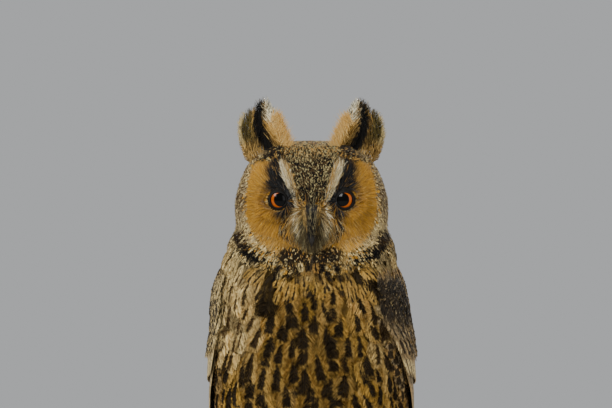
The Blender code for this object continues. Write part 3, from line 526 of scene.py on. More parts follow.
def meshArrays(mesh):
    points, normals = readOut(mesh.vertices, "co", 3), readOut(mesh.vertex_normals, "vector", 3)
    return points.astype(float), normals.astype(float)


skin = makeFlesh()
unwrapPiece(skin, 0.002)
skinPoints, skinNormals = meshArrays(skin.data)
skin.data.calc_loop_triangles()
corners = readOut(skin.data.loop_triangles, "vertices", 3, np.int32)
cornerLoops = readOut(skin.data.loop_triangles, "loops", 3, np.int32)
unwrap = readOut(skin.data.uv_layers[0].data, "uv", 2)[cornerLoops]
surface = BVHTree.FromPolygons(skinPoints.tolist(), corners.tolist())
cornerPoints = skinPoints[corners]
edges = cornerPoints[:, 1:] - cornerPoints[:, :1]
triangleAreas = np.linalg.norm(np.cross(edges[:, 0], edges[:, 1]), axis=1) / 2
print("flesh surface:", len(corners), "triangles,", round(triangleAreas.sum() / mm**2), "square millimetres")


def nearest(points):
    places, normals = np.empty_like(points), np.empty_like(points)
    for k, point in enumerate(points):
        place, _, index, _ = surface.find_nearest(Vector(point))
        places[k] = place
        normals[k] = skinNormals[corners[index]].mean(0)
    return places, unit(normals)


# Regions of the coat

def regions(points, normals):
    x, y, drop = fromCrown(points)
    side = np.abs(x)
    masks = faceMasks(x, y, drop, normals)
    neckLine = 72 - 12 * soft(26, 44, side) * soft(12, 2, y) + 4 * soft(-10, 25, y)
    head = soft(neckLine + 2, neckLine - 2, drop)
    masks["head"] = head
    masks["hair"] = masks["disc"] * (1 - masks["chin"]) * soft(72, 70, drop)
    masks["crown"] = head * (1 - masks["hair"])
    for name in ("ruff", "forehead", "chin"):
        masks["crown"] = masks["crown"] * (1 - masks[name])
    masks["nape"] = masks["crown"] * np.maximum(soft(10, 22, y), soft(38, 48, drop))
    leg = soft(218, 222, drop) * soft(24, 18, y)
    masks["leg"] = leg
    masks["toe"] = leg * soft(229, 231, drop)
    body = (1 - head) * (1 - leg)
    masks["body"] = body
    arm = np.zeros(len(points))
    for way in (1, -1):
        halfWidth, middle, halfDepth, first, last = sheetAt(way, drop)
        angle = np.degrees(np.arctan2((y - middle) / halfDepth, way * x / halfWidth))
        arm = np.maximum(arm, soft(first - 5, first + 2, angle) * soft(last + 6, last, angle) * (way * x > 0))
    masks["arm"] = arm * soft(84, 92, drop) * soft(215, 205, drop) * body
    masks["front"] = soft(20, 4, y) * body * (1 - masks["arm"])
    masks["back"] = (1 - soft(20, 4, y)) * body * (1 - masks["arm"])
    masks["belly"] = masks["front"] * soft(135, 165, drop)
    masks["breast"] = masks["front"] - masks["belly"]
    masks["collar"] = soft(62, 65, drop + 3 * soft(30, 44, side)) * soft(85, 79, drop) * soft(50, 36, y)
    masks["collar"] = masks["collar"] * (1 - masks["ruff"])
    return masks


def coatDepth(points, normals):  # how far the skin lies under the coat's outer side
    masks = regions(points, normals)
    depth = 1.3 * masks["head"] + 6.0 * masks["body"] + 1.5 * masks["leg"]
    depth += 2.2 * masks["crown"] - 3.0 * masks["arm"]
    depth -= 0.6 * masks["toe"]
    return depth * mm


def heading(*parts):  # one direction a point, from numbers and rows of numbers
    return np.stack(np.broadcast_arrays(*parts), 1)


# Which way the plumage lies
def plumageLie(points, normals):
    x, y, drop = fromCrown(points)
    side, way = np.abs(x), np.sign(x) + (x == 0)
    masks = regions(points, normals)
    down = heading(0.25 * x / 50, 0.15, -1.0)
    fromEye = heading(way * (side - eyeSide), 0.0, -(drop - eyeDrop))
    fromEye = fromEye / (1 + np.linalg.norm(fromEye, axis=1, keepdims=True))
    radial = fromEye + heading(way, 0.3, -0.1 - 0.02 * (drop - eyeDrop)) * 0.35
    browLie = heading(way * (0.2 + 0.25 * soft(34, 18, drop)), 0.2, 1.0)
    fanLie = heading(way * (0.06 + side * 0.07), 0.0, -1 + side * 0.02)
    strokeLie = heading(way * (0.5 - 1.5 * soft(46, 60, drop)), 0.0, -1.0)
    rimLie = heading(way * 0.75 * soft(70, 58, drop), 0.2, -1 + 1.6 * soft(40, 12, drop))
    up = heading(x * 0.02, 0.5, 1.0)
    over = heading(x * 0.01, 1.0, -0.15 - 0.5 * soft(0, 30, y))
    neckSide = heading(way * 0.5, 0.25, -1.0)
    lie = down
    for mask, direction in (
        (masks["crown"], over),
        (masks["nape"] * soft(30, 45, drop) * soft(30, 10, y), neckSide),
        (masks["hair"], radial),
        (masks["ruff"], rimLie),
        (masks["forehead"], up),
        (masks["strokes"], strokeLie),
        (masks["brow"], browLie),
        (masks["fan"], fanLie),
        (masks["chin"], down),
    ):
        lie = mixTone(lie, direction, mask)
    return lay(lie, normals)


# Colours of the coat at its roots: ground, mark, and the streak's width, bars and freckles
def plumageColours(points, normals):
    x, y, drop = fromCrown(points)
    side = np.abs(x)
    masks = regions(points, normals)
    count = len(points)
    chance, second = dice.random(count), dice.random(count)
    ground = np.tile(tones.tan, (count, 1))
    mark = np.tile(tones.dark, (count, 1))
    traits = np.tile([0.3, 0.25, 0.3], (count, 1))

    def paint(mask, colour, other=None, *levels):
        nonlocal ground, mark
        ground = mixTone(ground, colour, mask)
        if other is not None:
            mark = mixTone(mark, other, mask)
        for k, level in enumerate(levels):
            traits[:, k] = traits[:, k] * (1 - mask) + level * mask

    def anyOf(draw, *choices):  # one of several tones for each feather, by the shares given with them
        limit, made = 0.0, np.zeros((count, 3))
        for share, colour in choices:
            made = made + ((draw >= limit) & (draw < limit + share))[:, None] * np.asarray(colour)
            limit += share
        return made + (draw >= limit)[:, None] * np.asarray(choices[-1][1])

    breastTone = mixTone(tones.straw, tones.tan, 0.1 + 0.5 * chance)
    breastTone = mixTone(breastTone, tones.cream, second * 0.2)
    paint(masks["breast"], breastTone, tones.dark, 0.42, 0.15, 0.35)
    bellyTone = mixTone(tones.tan, tones.straw, chance * 0.8)
    bellyTone = mixTone(bellyTone, tones.cream, 0.2 + second * 0.3)
    paint(masks["belly"], bellyTone, tones.brown, 0.28, 0.3, 0.15)
    blot = 2 * np.sin(0.34 * x + 0.7 * np.sin(0.13 * drop)) * np.sin(0.21 * drop + 0.9 * np.sin(0.21 * x))
    blot = blot + 0.6 * (chance - 0.5)
    shoulder = soft(26, 40, side + 6 * (x < 0)) * masks["front"] * soft(120, 96, drop)
    shoulderTone = mixTone(tones.grey, tones.cream, 0.6 + chance * 0.6) * 1.25
    shoulderTone = mixTone(shoulderTone, tones.brown, soft(0.3, 0.9, blot) * 0.6)
    paint(shoulder, shoulderTone, tones.brown, 0.22, 0.1, 0.3)
    backTone = mixTone(tones.buff, tones.grey, chance)
    paint(masks["back"], backTone, tones.dark, 0.42, 0.4, 0.7)
    paint(masks["arm"], backTone, tones.dark, 0.45, 0.5, 0.8)
    legTone = mixTone(tones.cream, tones.ochre, chance * 0.5)
    paint(masks["leg"], legTone, tones.brown, 0.05, 0.0, 0.05)
    crownTone = anyOf(chance, (0.42, tones.dark), (0.24, tones.buff), (0.34, tones.pepper))
    paint(masks["crown"], crownTone, tones.dark, 0.2, 0.1, 0.5)
    napeTone = mixTone(mixTone(tones.tan, tones.grey, chance * 0.9), tones.cream, second * 0.35)
    paint(masks["nape"], napeTone, tones.dark, 0.26 + 0.12 * soft(45, 75, drop), 0.12, 0.4)
    paleNeck = soft(-34, -42, x) * soft(46, 56, drop) * soft(110, 96, drop) * soft(24, 10, y)
    paint(paleNeck * 0.85, shoulderTone, tones.brown, 0.18, 0.0, 0.3)
    tuftFoot = masks["crown"] * soft(11, 14, side) * soft(29, 25, side) * soft(1, 4, drop) * soft(4, -4, y)
    paint(tuftFoot * (second < 0.7), tones.black)
    paler = soft(14, 5, drop)[:, None]
    speckle = anyOf(chance, (0.48, tones.black), (0.27, tones.pepper), (0.25, tones.brown))
    speckle = speckle * (1 - paler) + crownTone * paler
    paint(masks["forehead"], speckle, tones.black, 0.0, 0.0, 0.5)
    paint(masks["forehead"] * soft(22, 36, drop) * (second > 0.55), tones.black)
    paint(masks["forehead"] * soft(36, 39, drop) * soft(1.5, 3, side) * (second < 0.8), tones.ochre)
    discTone = mixTone(tones.discOchre, tones.discShade, chance * 0.6)
    discTone = mixTone(discTone, tones.cream, soft(0.75, 1.0, second) * 0.3)
    paint(masks["hair"], discTone, tones.brown, 0.0, 0.0, 0.0)
    shadow = masks["hair"] * soft(29, 23, side) * soft(10, 16, drop) * soft(36, 28, drop)
    paint(shadow * 0.75 * (second < 0.75), tones.brown)
    mottle = masks["hair"] * soft(46, 60, drop + 0.6 * (side - 26)) * soft(14, 19, side)
    mottled = anyOf(second, (0.26, tones.cream), (0.2, tones.dark), (0.54, tones.discOchre))
    paint(mottle * 0.85, mottled)
    rim = anyOf(chance, (0.52, tones.grey), (0.32, tones.cream), (0.16, tones.brown))
    paint(masks["ruff"], rim, tones.brown, 0.1, 0.2, 0.5)
    paint(masks["ruff"] * soft(46, 34, drop) * (second < 0.32), tones.brown)
    paint(masks["ruff"] * soft(40, 48, drop) * (second < 0.45), tones.cream)
    low = masks["ruff"] * soft(56, 61, drop)
    lowTone = anyOf(chance, (0.5, tones.cream), (0.34, tones.black), (0.16, tones.ochre))
    paint(low, lowTone, tones.black)
    # black band along the lower outer edge of the ruff: partly the feathers' own dark border, partly painted
    # shadow beneath the ruff
    edge = soft(0.945, 0.965, masks["share"] - 0.02 * soft(32, 26, side)) * soft(1.14, 1.1, masks["share"])
    edge = edge * soft(48, 53, drop) * soft(10, 16, side) * soft(72, 69, drop) * soft(10, 2, y)
    paint(edge * (second < 0.93), tones.black)
    collarTone = mixTone(mixTone(tones.tan, tones.straw, chance), tones.cream, second * 0.2)
    collarTone = mixTone(collarTone, tones.dark * 0.5, soft(0.75, 1.1, blot) * 0.95)
    collar = soft(0, 0.5, masks["collar"]) * (1 - shoulder * 0.9) * soft(26, 14, y)
    paint(collar, collarTone, tones.dark, 0.24, 0.0, 0.3)
    chinTone = anyOf(chance, (0.84, tones.dark), (0.08, tones.buff), (0.08, tones.cream))
    paint(masks["chin"], chinTone, tones.black, 0.2, 0.0, 0.5)
    stroked = anyOf(chance, (0.6, tones.black), (0.24, tones.ochre), (0.16, tones.cream))
    paint(masks["strokes"], stroked, tones.dark, 0.0, 0.0, 0.0)
    fanTone = anyOf(second, (0.5, tones.olive * 0.75), (0.12, tones.pepper), (0.38, tones.dark))
    inFan = soft(8.5, 6.5, side) * soft(3, 4.5, side) * soft(50, 44, drop) * (chance < 0.16)
    fanTone = mixTone(fanTone, tones.cream, inFan)
    paint(masks["fan"], fanTone, tones.dark, 0.0, 0.0, 0.0)
    paint(masks["black"] * (chance < 0.9), tones.black, tones.black, 0.0, 0.0, 0.0)
    browTone = anyOf(
        second, (0.4, tones.white), (0.3, tones.cream), (0.16, tones.grey), (0.14, tones.dark)
    )
    innerSide = soft(0.3, -1.2, side - along(face["browMiddle"], drop)) * (chance < 0.55)
    browTone = mixTone(browTone, anyOf(chance, (0.35, tones.tan), (0.65, tones.brown)), innerSide)
    paint(masks["brow"], browTone, tones.grey, 0.0, 0.0, 0.0)
    shade = dice.normal(1.0, 0.09, (count, 1))
    return np.clip(ground * shade, 0, 1), mark, traits


# Making joined meshes from arrays

def writeMesh(name, points, faces, vane, unwrapped, ground, mark, traits, material):
    mesh = bpy.data.meshes.new(name)
    points = points.reshape(-1, 3)
    faces = np.asarray(faces, np.int32)
    size = faces.shape[1]
    mesh.vertices.add(len(points))
    mesh.vertices.foreach_set("co", flat(points))
    mesh.loops.add(faces.size)
    mesh.loops.foreach_set("vertex_index", faces.ravel())
    mesh.polygons.add(len(faces))
    mesh.polygons.foreach_set("loop_start", np.arange(0, faces.size, size, dtype=np.int32))
    mesh.polygons.foreach_set("use_smooth", np.full(len(faces), True))
    for label, values in (("OFBake", unwrapped), ("vane", vane)):
        mesh.uv_layers.new(name=label).data.foreach_set("uv", flat(values.reshape(-1, 2)[faces.ravel()]))
    addColours(mesh, "ground", ground)
    addColours(mesh, "mark", mark)
    mesh.attributes.new("traits", "FLOAT_VECTOR", "POINT").data.foreach_set("vector", flat(traits))
    mesh.update(calc_edges=True)
    mesh.validate()
    mesh.materials.append(material)
    obj = link(name, mesh)
    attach(obj, "root")
    print(f"{name}: {len(faces) * (size - 2)} triangles")
    return obj


patchSize = 0.003


def patches(roots, vane):  # each tuft's place on the skin's unwrap, a small patch round its root
    return roots[:, None, :] + (vane - 0.5) * patchSize


# Roots spread over the flesh

def scatter(count, mask, spacing=0.0):
    weights = triangleAreas * np.clip(mask, 0, 1)
    chosen = dice.choice(len(corners), count, p=weights / weights.sum())
    first, second = dice.random(count), dice.random(count)
    flip = first + second > 1
    first, second = np.where(flip, 1 - first, first), np.where(flip, 1 - second, second)
    shares = np.stack([1 - first - second, first, second], 1)[..., None]
    points = (skinPoints[corners[chosen]] * shares).sum(1)
    normals = unit((skinNormals[corners[chosen]] * shares).sum(1))
    roots = (unwrap[chosen] * shares).sum(1)
    if spacing:
        kept = spreadOut(points, spacing)
        points, normals, roots = points[kept], normals[kept], roots[kept]
    return points, normals, roots


def spreadOut(points, spacing):  # drops each point that comes too near one kept before it
    cells = np.floor(points / spacing).astype(int)
    taken, kept = {}, []
    steps = [(i, j, k) for i in (-1, 0, 1) for j in (-1, 0, 1) for k in (-1, 0, 1)]
    for index, (cell, point) in enumerate(zip(cells.tolist(), points.tolist())):
        crowded = False
        for i, j, k in steps:
            for other in taken.get((cell[0] + i, cell[1] + j, cell[2] + k), ()):
                gap = (point[0] - other[0]) ** 2 + (point[1] - other[1]) ** 2 + (point[2] - other[2]) ** 2
                if gap < spacing * spacing:
                    crowded = True
                    break
            if crowded:
                break
        if not crowded:
            taken.setdefault(tuple(cell), []).append(point)
            kept.append(index)
    return np.array(kept)


triangleMiddles = skinPoints[corners].mean(1)
triangleNormals = unit(skinNormals[corners].mean(1))
areaMasks = regions(triangleMiddles, triangleNormals)


def ribbonMap(count, steps):
    vane = np.stack(np.meshgrid([0.0, 1.0], np.linspace(0, 1, steps + 1)), -1).reshape(1, -1, 2)
    return np.broadcast_to(vane, (count, 2 * (steps + 1), 2))


# Strands: thin tapering ribbons, for the hair-like plumage of the face, the legs and the tufts' fringes
def strands(points, normals, lie, length, width, sink=0.0, lift=0.15, bend=0.25, sway=0.12, steps=3):
    count = len(points)
    across = np.cross(lie, normals)
    t = np.linspace(0, 1, steps + 1)[None, :, None]
    length = np.broadcast_to(length, count)[:, None, None]
    width = np.broadcast_to(width, count)[:, None, None]
    lift = (lift * dice.uniform(0.5, 1.5, count))[:, None, None]
    swing = dice.normal(0, sway, count)[:, None, None]
    middle = points[:, None] + lie[:, None] * length * t + across[:, None] * length * swing * t**2
    middle = middle + normals[:, None] * (length * (lift * t - bend * t**2) - sink)
    half = width / 2 * (1 - 0.85 * t**1.5)
    tilt = dice.normal(0, 0.5, count)[:, None, None]
    edge = across[:, None] * np.cos(tilt) + normals[:, None] * np.sin(tilt)
    rows = np.stack([middle - edge * half, middle + edge * half], 2)
    return rows.reshape(count, -1, 3), ribbonMap(count, steps)


def ladder(count, steps):  # faces of many ribbons of two columns
    row = np.arange(steps)[:, None] * 2
    faces = row + np.array([0, 1, 3, 2])
    return (np.arange(count)[:, None, None] * 2 * (steps + 1) + faces).reshape(-1, 4)


paintedDepthShade = {"root": 0.6, "tip": 1.08}  # painted shade: hairs and barbs darken towards their roots, deep in the coat, and lighten a little at their tips


def growHair(name, given):
    points, normals, roots = scatter(given["count"], given["mask"])
    count, steps = len(points), given.get("steps", 3)
    length = given["length"] * mm * dice.uniform(0.7, 1.2, count)
    if given.get("fade"):
        x, _, drop = fromCrown(points)
        length = length * (1 - given["fade"] * soft(0.68, 0.84, headShare(x, drop)))
    width = given["width"] * mm * dice.uniform(0.7, 1.3, count)
    rows, vane = strands(
        points, normals, plumageLie(points, normals), length, width, sink=0.6 * mm, lift=given["lift"],
        bend=given["bend"], steps=steps,
    )
    ground, mark, traits = plumageColours(points, normals)
    share = vane[..., 1:2]
    # painted shade: each hair darker at its root than at its tip
    ground = ground[:, None] * (paintedDepthShade["root"] * (1 - share) + share * paintedDepthShade["tip"])
    writeMesh(
        name, rows, ladder(count, steps), vane, patches(roots, vane), np.clip(ground, 0, 1),
        np.repeat(mark, rows.shape[1], 0), np.repeat(traits, rows.shape[1], 0), faceFeather,
    )


# Barbed feathers: two rows of barbs along a shaft that follows the body's own surface
barb = {
    "start": 0.1, "end": 0.97, "cover": 0.72, "taper": 0.6, "steps": 2, "fromShaft": 0.012, "longest": 1.06,
}


def barbTemplate(barbs, tip, ragged, lean):
    places, faces, steps = [], [], barb["steps"]
    room = barb["end"] - barb["start"]
    half = room / barbs * barb["cover"]
    for way in (-1, 1):
        for k in range(barbs):
            q = k / (barbs - 1)
            begin = barb["start"] + room * q
            reach = (lean - 0.65 * lean * q) * dice.uniform(1 - ragged, 1 + ragged)
            out = (1 - q**tip) ** 0.5 * min(1.0, 0.55 + 2.2 * q) * dice.uniform(1 - ragged, 1 + 0.4 * ragged)
            out = max(out, 0.1)
            base = len(places)
            for n in range(steps + 1):
                r = n / steps
                thin = half * (1 - barb["taper"] * r**2)
                middle = begin + reach * r**1.3
                for edge in (-1, 1):
                    x = way * out * r**0.92 + way * barb["fromShaft"]
                    places.append((x, min(middle + edge * thin, barb["longest"])))
            for n in range(steps):
                a = base + 2 * n
                quad = (a, a + 2, a + 3, a + 1)
                faces.append(quad if way > 0 else quad[::-1])
    return np.array(places), np.array(faces)


def barbedFeathers(name, given, material, guides, ups, across, width, roots, ground, mark, traits):
    # guides: three points along each shaft, with the way up at each, in arrays of one row a feather
    count = len(width)
    pointsOut, facesOut, vaneOut, rootOut, whose = [], [], [], [], []
    offset = 0
    kinds = given.get("kinds", 4)
    template = (given["barbs"], given.get("tip", 2.4), given.get("ragged", 0.18), given.get("lean", 0.3))
    templates = [barbTemplate(*template) for _ in range(kinds)]
    kind = dice.integers(0, kinds, count)
    swing = dice.normal(0, given.get("sway", 0.05), count)
    reach = np.linalg.norm(guides[2] - guides[0], axis=1)
    for number, (places, faces) in enumerate(templates):
        chosen = np.flatnonzero(kind == number)
        if not len(chosen):
            continue
        x, t = places[:, 0][None, :, None], places[:, 1][None, :, None]
        weights = ((1 - t) * (1 - 2 * t), 4 * t * (1 - t), t * (2 * t - 1))
        line = sum(w * guide[chosen][:, None] for w, guide in zip(weights, guides))
        up = unit(sum(w * guide[chosen][:, None] for w, guide in zip(weights, ups)))
        sideways = across[chosen][:, None]
        sideways = unit(sideways - up * np.sum(sideways * up, -1, keepdims=True))
        span = width[chosen][:, None, None] / 2
        sway = reach[chosen][:, None, None] * swing[chosen][:, None, None] * t**2
        spot = line + sideways * (x * span + sway) - up * span * given.get("cup", 0.25) * x**2
        spot = spot + up * dice.normal(0, 0.05, (len(chosen), len(places), 1)) * span
        pointsOut.append(spot.reshape(-1, 3))
        vane = np.stack([0.5 + places[:, 0] / 2, np.clip(places[:, 1], 0, 1)], -1)
        vaneOut.append(np.broadcast_to(vane, (len(chosen), len(places), 2)).reshape(-1, 2))
        rootOut.append(patches(roots[chosen], vane[None]).reshape(-1, 2))
        whose.append(np.repeat(chosen, len(places)))
        starts = offset + np.arange(len(chosen))[:, None, None] * len(places)
        facesOut.append((starts + faces).reshape(-1, 4))
        offset += len(chosen) * len(places)
    whose, vane, places = np.concatenate(whose), np.concatenate(vaneOut), np.concatenate(pointsOut)
    colour = ground(places, whose, vane) if callable(ground) else ground[whose]
    if given.get("fine"):  # this share of the barbs has a tone of its own, as in salt-and-pepper plumage
        each = 2 * (barb["steps"] + 1)
        own = plumageColours(places[::each], None)[0]
        changed = np.repeat(dice.random(len(own)) < given["fine"], each)
        colour = np.where(changed[:, None], np.repeat(own, each, 0), colour)
    # painted shade: the barbs darken towards the feather's root, deep in the coat
    paintedRootShade = given.get("paintedRootShade", 0.72)
    shade = paintedRootShade + (paintedDepthShade["tip"] - paintedRootShade) * vane[:, 1:2]
    mark = np.column_stack([mark, dice.random(count)])
    return writeMesh(
        name, places, np.concatenate(facesOut), vane, np.concatenate(rootOut),
        np.clip(colour * shade, 0, 1), mark[whose], traits[whose], material,
    )


def fluffed(points):  # the neck's sides stand out, more on the bird's right, as in the photograph
    x, y, drop = fromCrown(points)
    right = 3.5 * soft(46, 66, drop) * soft(106, 84, drop) * soft(-20, -42, x)
    left = 2.2 * soft(38, 50, drop) * soft(76, 60, drop) * soft(22, 40, x)
    rim = 1.4 * soft(40, 50, drop) * soft(66, 54, drop) * soft(-20, -40, x)
    return np.stack([left - right - rim, 0 * x, 0 * x], -1) * mm * soft(40, 10, y)[:, None]


def growCoat(name, given):
    points, normals, roots = scatter(given["tries"], given["mask"], given["spacing"] * mm)
    count = len(points)
    length = given["length"] * mm * dice.uniform(0.85, 1.15, count)
    width = given["width"] * mm * dice.uniform(0.85, 1.15, count)
    lie = plumageLie(points, normals) + dice.normal(0, given.get("tousle", 0.07), (count, 3))
    lie = lay(unit(lie), normals)
    middle, middleNormal = nearest(points + lie * length[:, None] * 0.5)
    end, endNormal = nearest(points + lie * length[:, None])
    height = dice.uniform(0.6, 1.4, count)[:, None] * given["rise"] * mm
    guides = [
        points - normals * given["depth"] * mm, middle + middleNormal * height * 0.2,
        end + endNormal * height * 0.8,
    ]
    loose = dice.uniform(0.2, 1.0, (count, 1)) * given.get("fluff", 1.0)
    guides = [guide + fluffed(guide) * share * loose for guide, share in zip(guides, (0.7, 1.0, 1.0))]
    ground, mark, traits = plumageColours(points, normals)
    barbedFeathers(
        name, given, given.get("material", bodyFeather), guides,
        [normals, middleNormal, endNormal], np.cross(lie, normals), width, roots, ground, mark, traits,
    )


bodyFeather = featherMaterial("body_feather", bars=3.0, streakStart=0.25, freckles=700.0)
smallFeather = featherMaterial("small_feather", bars=2.0, streakStart=0.35, freckles=1100.0)
faceFeather = featherMaterial("face_hair", bars=1.0, freckles=1300.0, bump=0.0, sheen=0.25)

coat = {
    "breast_feathers": {
        "mask": areaMasks["breast"] * soft(64, 68, fromCrown(triangleMiddles)[2]), "slot": "body_plumage",
        "tries": 5000, "spacing": 7.4, "length": 25, "width": 14, "barbs": 104, "depth": 4.5, "rise": 1.3,
        "ragged": 0.22, "tousle": 0.12, "lean": 0.44,
    },
    "belly_feathers": {
        "mask": areaMasks["belly"], "slot": "body_plumage", "tries": 5000, "spacing": 7.4, "length": 27,
        "width": 13, "barbs": 96, "depth": 4.5, "rise": 1.0, "ragged": 0.25, "tousle": 0.1, "lean": 0.44,
    },
    "collar_feathers": {
        "mask": areaMasks["collar"] > 0.5, "slot": "body_plumage", "tries": 9000, "spacing": 3.0,
        "length": 13, "width": 5.2, "barbs": 50, "depth": 2.2, "rise": 1.2, "ragged": 0.22, "tousle": 0.12,
        "lean": 0.4, "paintedRootShade": 0.7,
    },
    "back_feathers": {
        "mask": areaMasks["back"], "slot": "body_plumage", "tries": 6000, "spacing": 6.0, "length": 20,
        "width": 12.5, "barbs": 56, "depth": 4.0, "rise": 0.8, "ragged": 0.12,
    },
    "nape_feathers": {
        "mask": areaMasks["nape"] > 0.6, "tries": 9000, "spacing": 3.9, "length": 15, "width": 7.5,
        "barbs": 34, "depth": 2.5, "rise": 1.0, "ragged": 0.2, "tousle": 0.1,
    },
    "crown_feathers": {
        "mask": areaMasks["crown"] - areaMasks["nape"], "material": smallFeather, "tries": 16000,
        "spacing": 1.7, "length": 6.0, "width": 3.0, "barbs": 8, "depth": 1.4, "rise": 0.5, "ragged": 0.25,
        "fine": 0.5,
    },
    "forehead_feathers": {
        "mask": areaMasks["forehead"], "material": smallFeather, "tries": 16000, "spacing": 0.85,
        "length": 3.4, "width": 1.5, "barbs": 4, "depth": 0.7, "rise": 0.5, "ragged": 0.3, "fine": 0.75,
    },
    "ruff_feathers": {
        "mask": areaMasks["ruff"], "material": smallFeather, "tries": 30000, "spacing": 1.05, "length": 5.2,
        "width": 1.7, "barbs": 5, "depth": 0.8, "rise": 1.1, "ragged": 0.25, "fine": 0.5, "fluff": 0.5,
    },
    "chin_feathers": {
        "mask": areaMasks["chin"], "material": smallFeather, "tries": 9000, "spacing": 1.1, "length": 5.0,
        "width": 1.9, "barbs": 6, "depth": 0.8, "rise": 0.9, "ragged": 0.3, "fine": 0.6,
    },
    "shoulder_feathers": {
        "mask": areaMasks["arm"], "slot": "flight_plumage", "tries": 9000, "spacing": 4.0, "length": 12,
        "width": 8, "barbs": 14, "depth": 2.0, "rise": 0.8, "ragged": 0.15,
    },
}
for name, given in coat.items():
    growCoat(name, given)

hair = {
    "disc_hair": {
        "mask": areaMasks["hair"] * (1 - areaMasks["brow"]) * (1 - areaMasks["fan"]),
        "count": 46000, "length": 6.4, "width": 0.36, "lift": 0.16, "bend": 0.12, "steps": 2, "fade": 0.5,
    },
    "brow_hair": {
        "mask": areaMasks["brow"], "count": 5200, "length": 7.6, "width": 0.34, "lift": 0.3, "bend": 0.2,
    },
    "bristle_hair": {
        "mask": areaMasks["fan"] * (1 - areaMasks["brow"]) ** 2, "count": 5200, "length": 8.0, "width": 0.32,
        "lift": 0.4, "bend": 0.25,
    },
    "leg_hair": {
        "mask": areaMasks["leg"] - areaMasks["toe"], "count": 9000, "length": 5.0, "width": 0.5, "lift": 0.15,
        "bend": 0.1, "slot": "leg_plumage",
    },
    "toe_hair": {
        "mask": areaMasks["toe"], "count": 14000, "length": 2.8, "width": 0.36, "lift": 0.2, "bend": 0.1,
        "slot": "leg_plumage", "steps": 2,
    },
}
for name, given in hair.items():
    growHair(name, given)


# The skin itself, sunk by the coat's depth and painted with the same colours
sunk = skinPoints - skinNormals * coatDepth(skinPoints, skinNormals)[:, None]
skin.data.vertices.foreach_set("co", flat(sunk))
ground, mark, _ = plumageColours(skinPoints, skinNormals)
addColours(skin.data, "ground", mixTone(ground, mark, np.full(len(ground), 0.45)))
skin.data.update()


# The points' own colours under a grain, which also raises the surface
def mottledMaterial(name, colour, roughness, specular, share, noise, bump):
    material, tree, _ = plainMaterial(name, colour, roughness, specular=specular)
    grain = objectNoise(tree, *noise)
    mottled = mixColour(tree, share, attributeOf(tree, "ground"), greyOf(tree, grain), "OVERLAY")
    finish(tree, mottled, grain, *bump)
    return material


skin.data.materials.append(mottledMaterial(
    "skin_down", (0.8, 0.8, 0.8), 0.9, 0.15, 0.6, (700.0, 3.0), (0.5, 0.0006)))
pick(skin)
bpy.ops.object.shade_smooth()
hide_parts(*flesh["nodes"])
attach(skin, "root")
print("skin and body coat done")


# Thin closed vanes for the large feathers: two faces that share a knife edge

def vaneFaces(rows, columns):
    index = np.arange(rows * columns).reshape(rows, columns)
    inner = np.full((rows, columns), -1)
    inner[1:-1, 1:-1] = rows * columns + np.arange((rows - 2) * (columns - 2)).reshape(rows - 2, columns - 2)
    inner = np.where(inner < 0, index, inner)
    faces = []
    for grid, order in ((index, 1), (inner, -1)):
        quads = np.stack([grid[:-1, :-1], grid[:-1, 1:], grid[1:, 1:], grid[1:, :-1]], -1).reshape(-1, 4)
        faces.append(quads[:, ::order])
    return np.concatenate(faces)


def gridPatches(count, vane):  # the large feathers each have a cell of their own in the map
    columns = math.ceil(math.sqrt(count))
    corner = np.stack([np.arange(count) % columns, np.arange(count) // columns], -1)[:, None]
    return (corner + 0.06 + 0.88 * vane) / columns


def layVanes(name, material, upper, lower, vane, ground, mark, traits, flip):
    # upper and lower: both faces' points, one row a feather, then rows by columns
    count, rows, columns = upper.shape[:3]
    whole = upper.reshape(count, -1, 3)
    under = lower[:, 1:-1, 1:-1].reshape(count, -1, 3)
    vaneUnder = vane[1:-1, 1:-1].reshape(-1, 2)
    vane = np.concatenate([vane.reshape(-1, 2), vaneUnder])[None]
    vane = np.broadcast_to(vane, (count, vane.shape[1], 2))
    points = np.concatenate([whole, under], 1)
    faces = vaneFaces(rows, columns)
    if flip:
        faces = faces[:, ::-1]
    faces = (np.arange(count)[:, None, None] * points.shape[1] + faces).reshape(-1, 4)
    shape = points.shape[:2]
    mark = np.concatenate([np.broadcast_to(mark, (count, 1, 3)), dice.random((count, 1, 1))], -1)
    ground, mark, traits = (
        np.broadcast_to(part, (*shape, part.shape[-1])).reshape(-1, part.shape[-1])
        for part in (ground(points, vane), mark, traits)
    )
    unwrapped = gridPatches(count, vane)
    return writeMesh(name, points, faces, vane, unwrapped, ground, mark, traits, material)


vaneShape = {
    "outline": [
        (0, 0.4), (0.15, 0.72), (0.3, 0.9), (0.55, 1), (0.75, 0.97), (0.87, 0.84), (0.94, 0.64),
        (0.98, 0.42), (1, 0.2),
    ],
    "thickness": 0.34,
    "camber": 0.06,
    "shaft": 0.16,
    "step": 1.1,  # how far each vane of the solids' wing stands over the one before
    "rows": np.array([
        0, 0.08, 0.17, 0.27, 0.37, 0.47, 0.57, 0.66, 0.74, 0.81, 0.87, 0.915, 0.95, 0.975, 0.99, 1,
    ]),
    "columns": np.array([-1, -0.86, -0.55, -0.25, -0.06, 0, 0.06, 0.25, 0.55, 0.86, 1]),
}
vanePlaces = np.stack(np.meshgrid(vaneShape["rows"], vaneShape["columns"], indexing="ij"), -1)
vaneMap = np.stack([0.5 + vanePlaces[..., 1] / 2, vanePlaces[..., 0]], -1)


def vaneRise(width):  # how far the upper face stands over the lower, and both over the vane's own line
    t, across = vanePlaces[..., 0], vanePlaces[..., 1]
    thick = vaneShape["thickness"] * (1 - 0.45 * t) * (1 - across**2)
    camber = vaneShape["camber"] * width * (1 - across**2)
    shaft = vaneShape["shaft"] * np.exp(-((across / 0.07) ** 2)) * (1 - t)
    return camber, thick + shaft


# Folded wings, with tiers of feathers as in the solids, but finer and more of them
arcDrops = np.arange(78, 340, 2.0)
arcLengths = {}
for side in (1, -1):
    ring = wingPoint(side, arcDrops[:, None], np.linspace(0, 1, 25)[None], 0.0)
    arcLengths[side] = np.linalg.norm(np.diff(ring, axis=1), axis=-1).sum(1) / mm


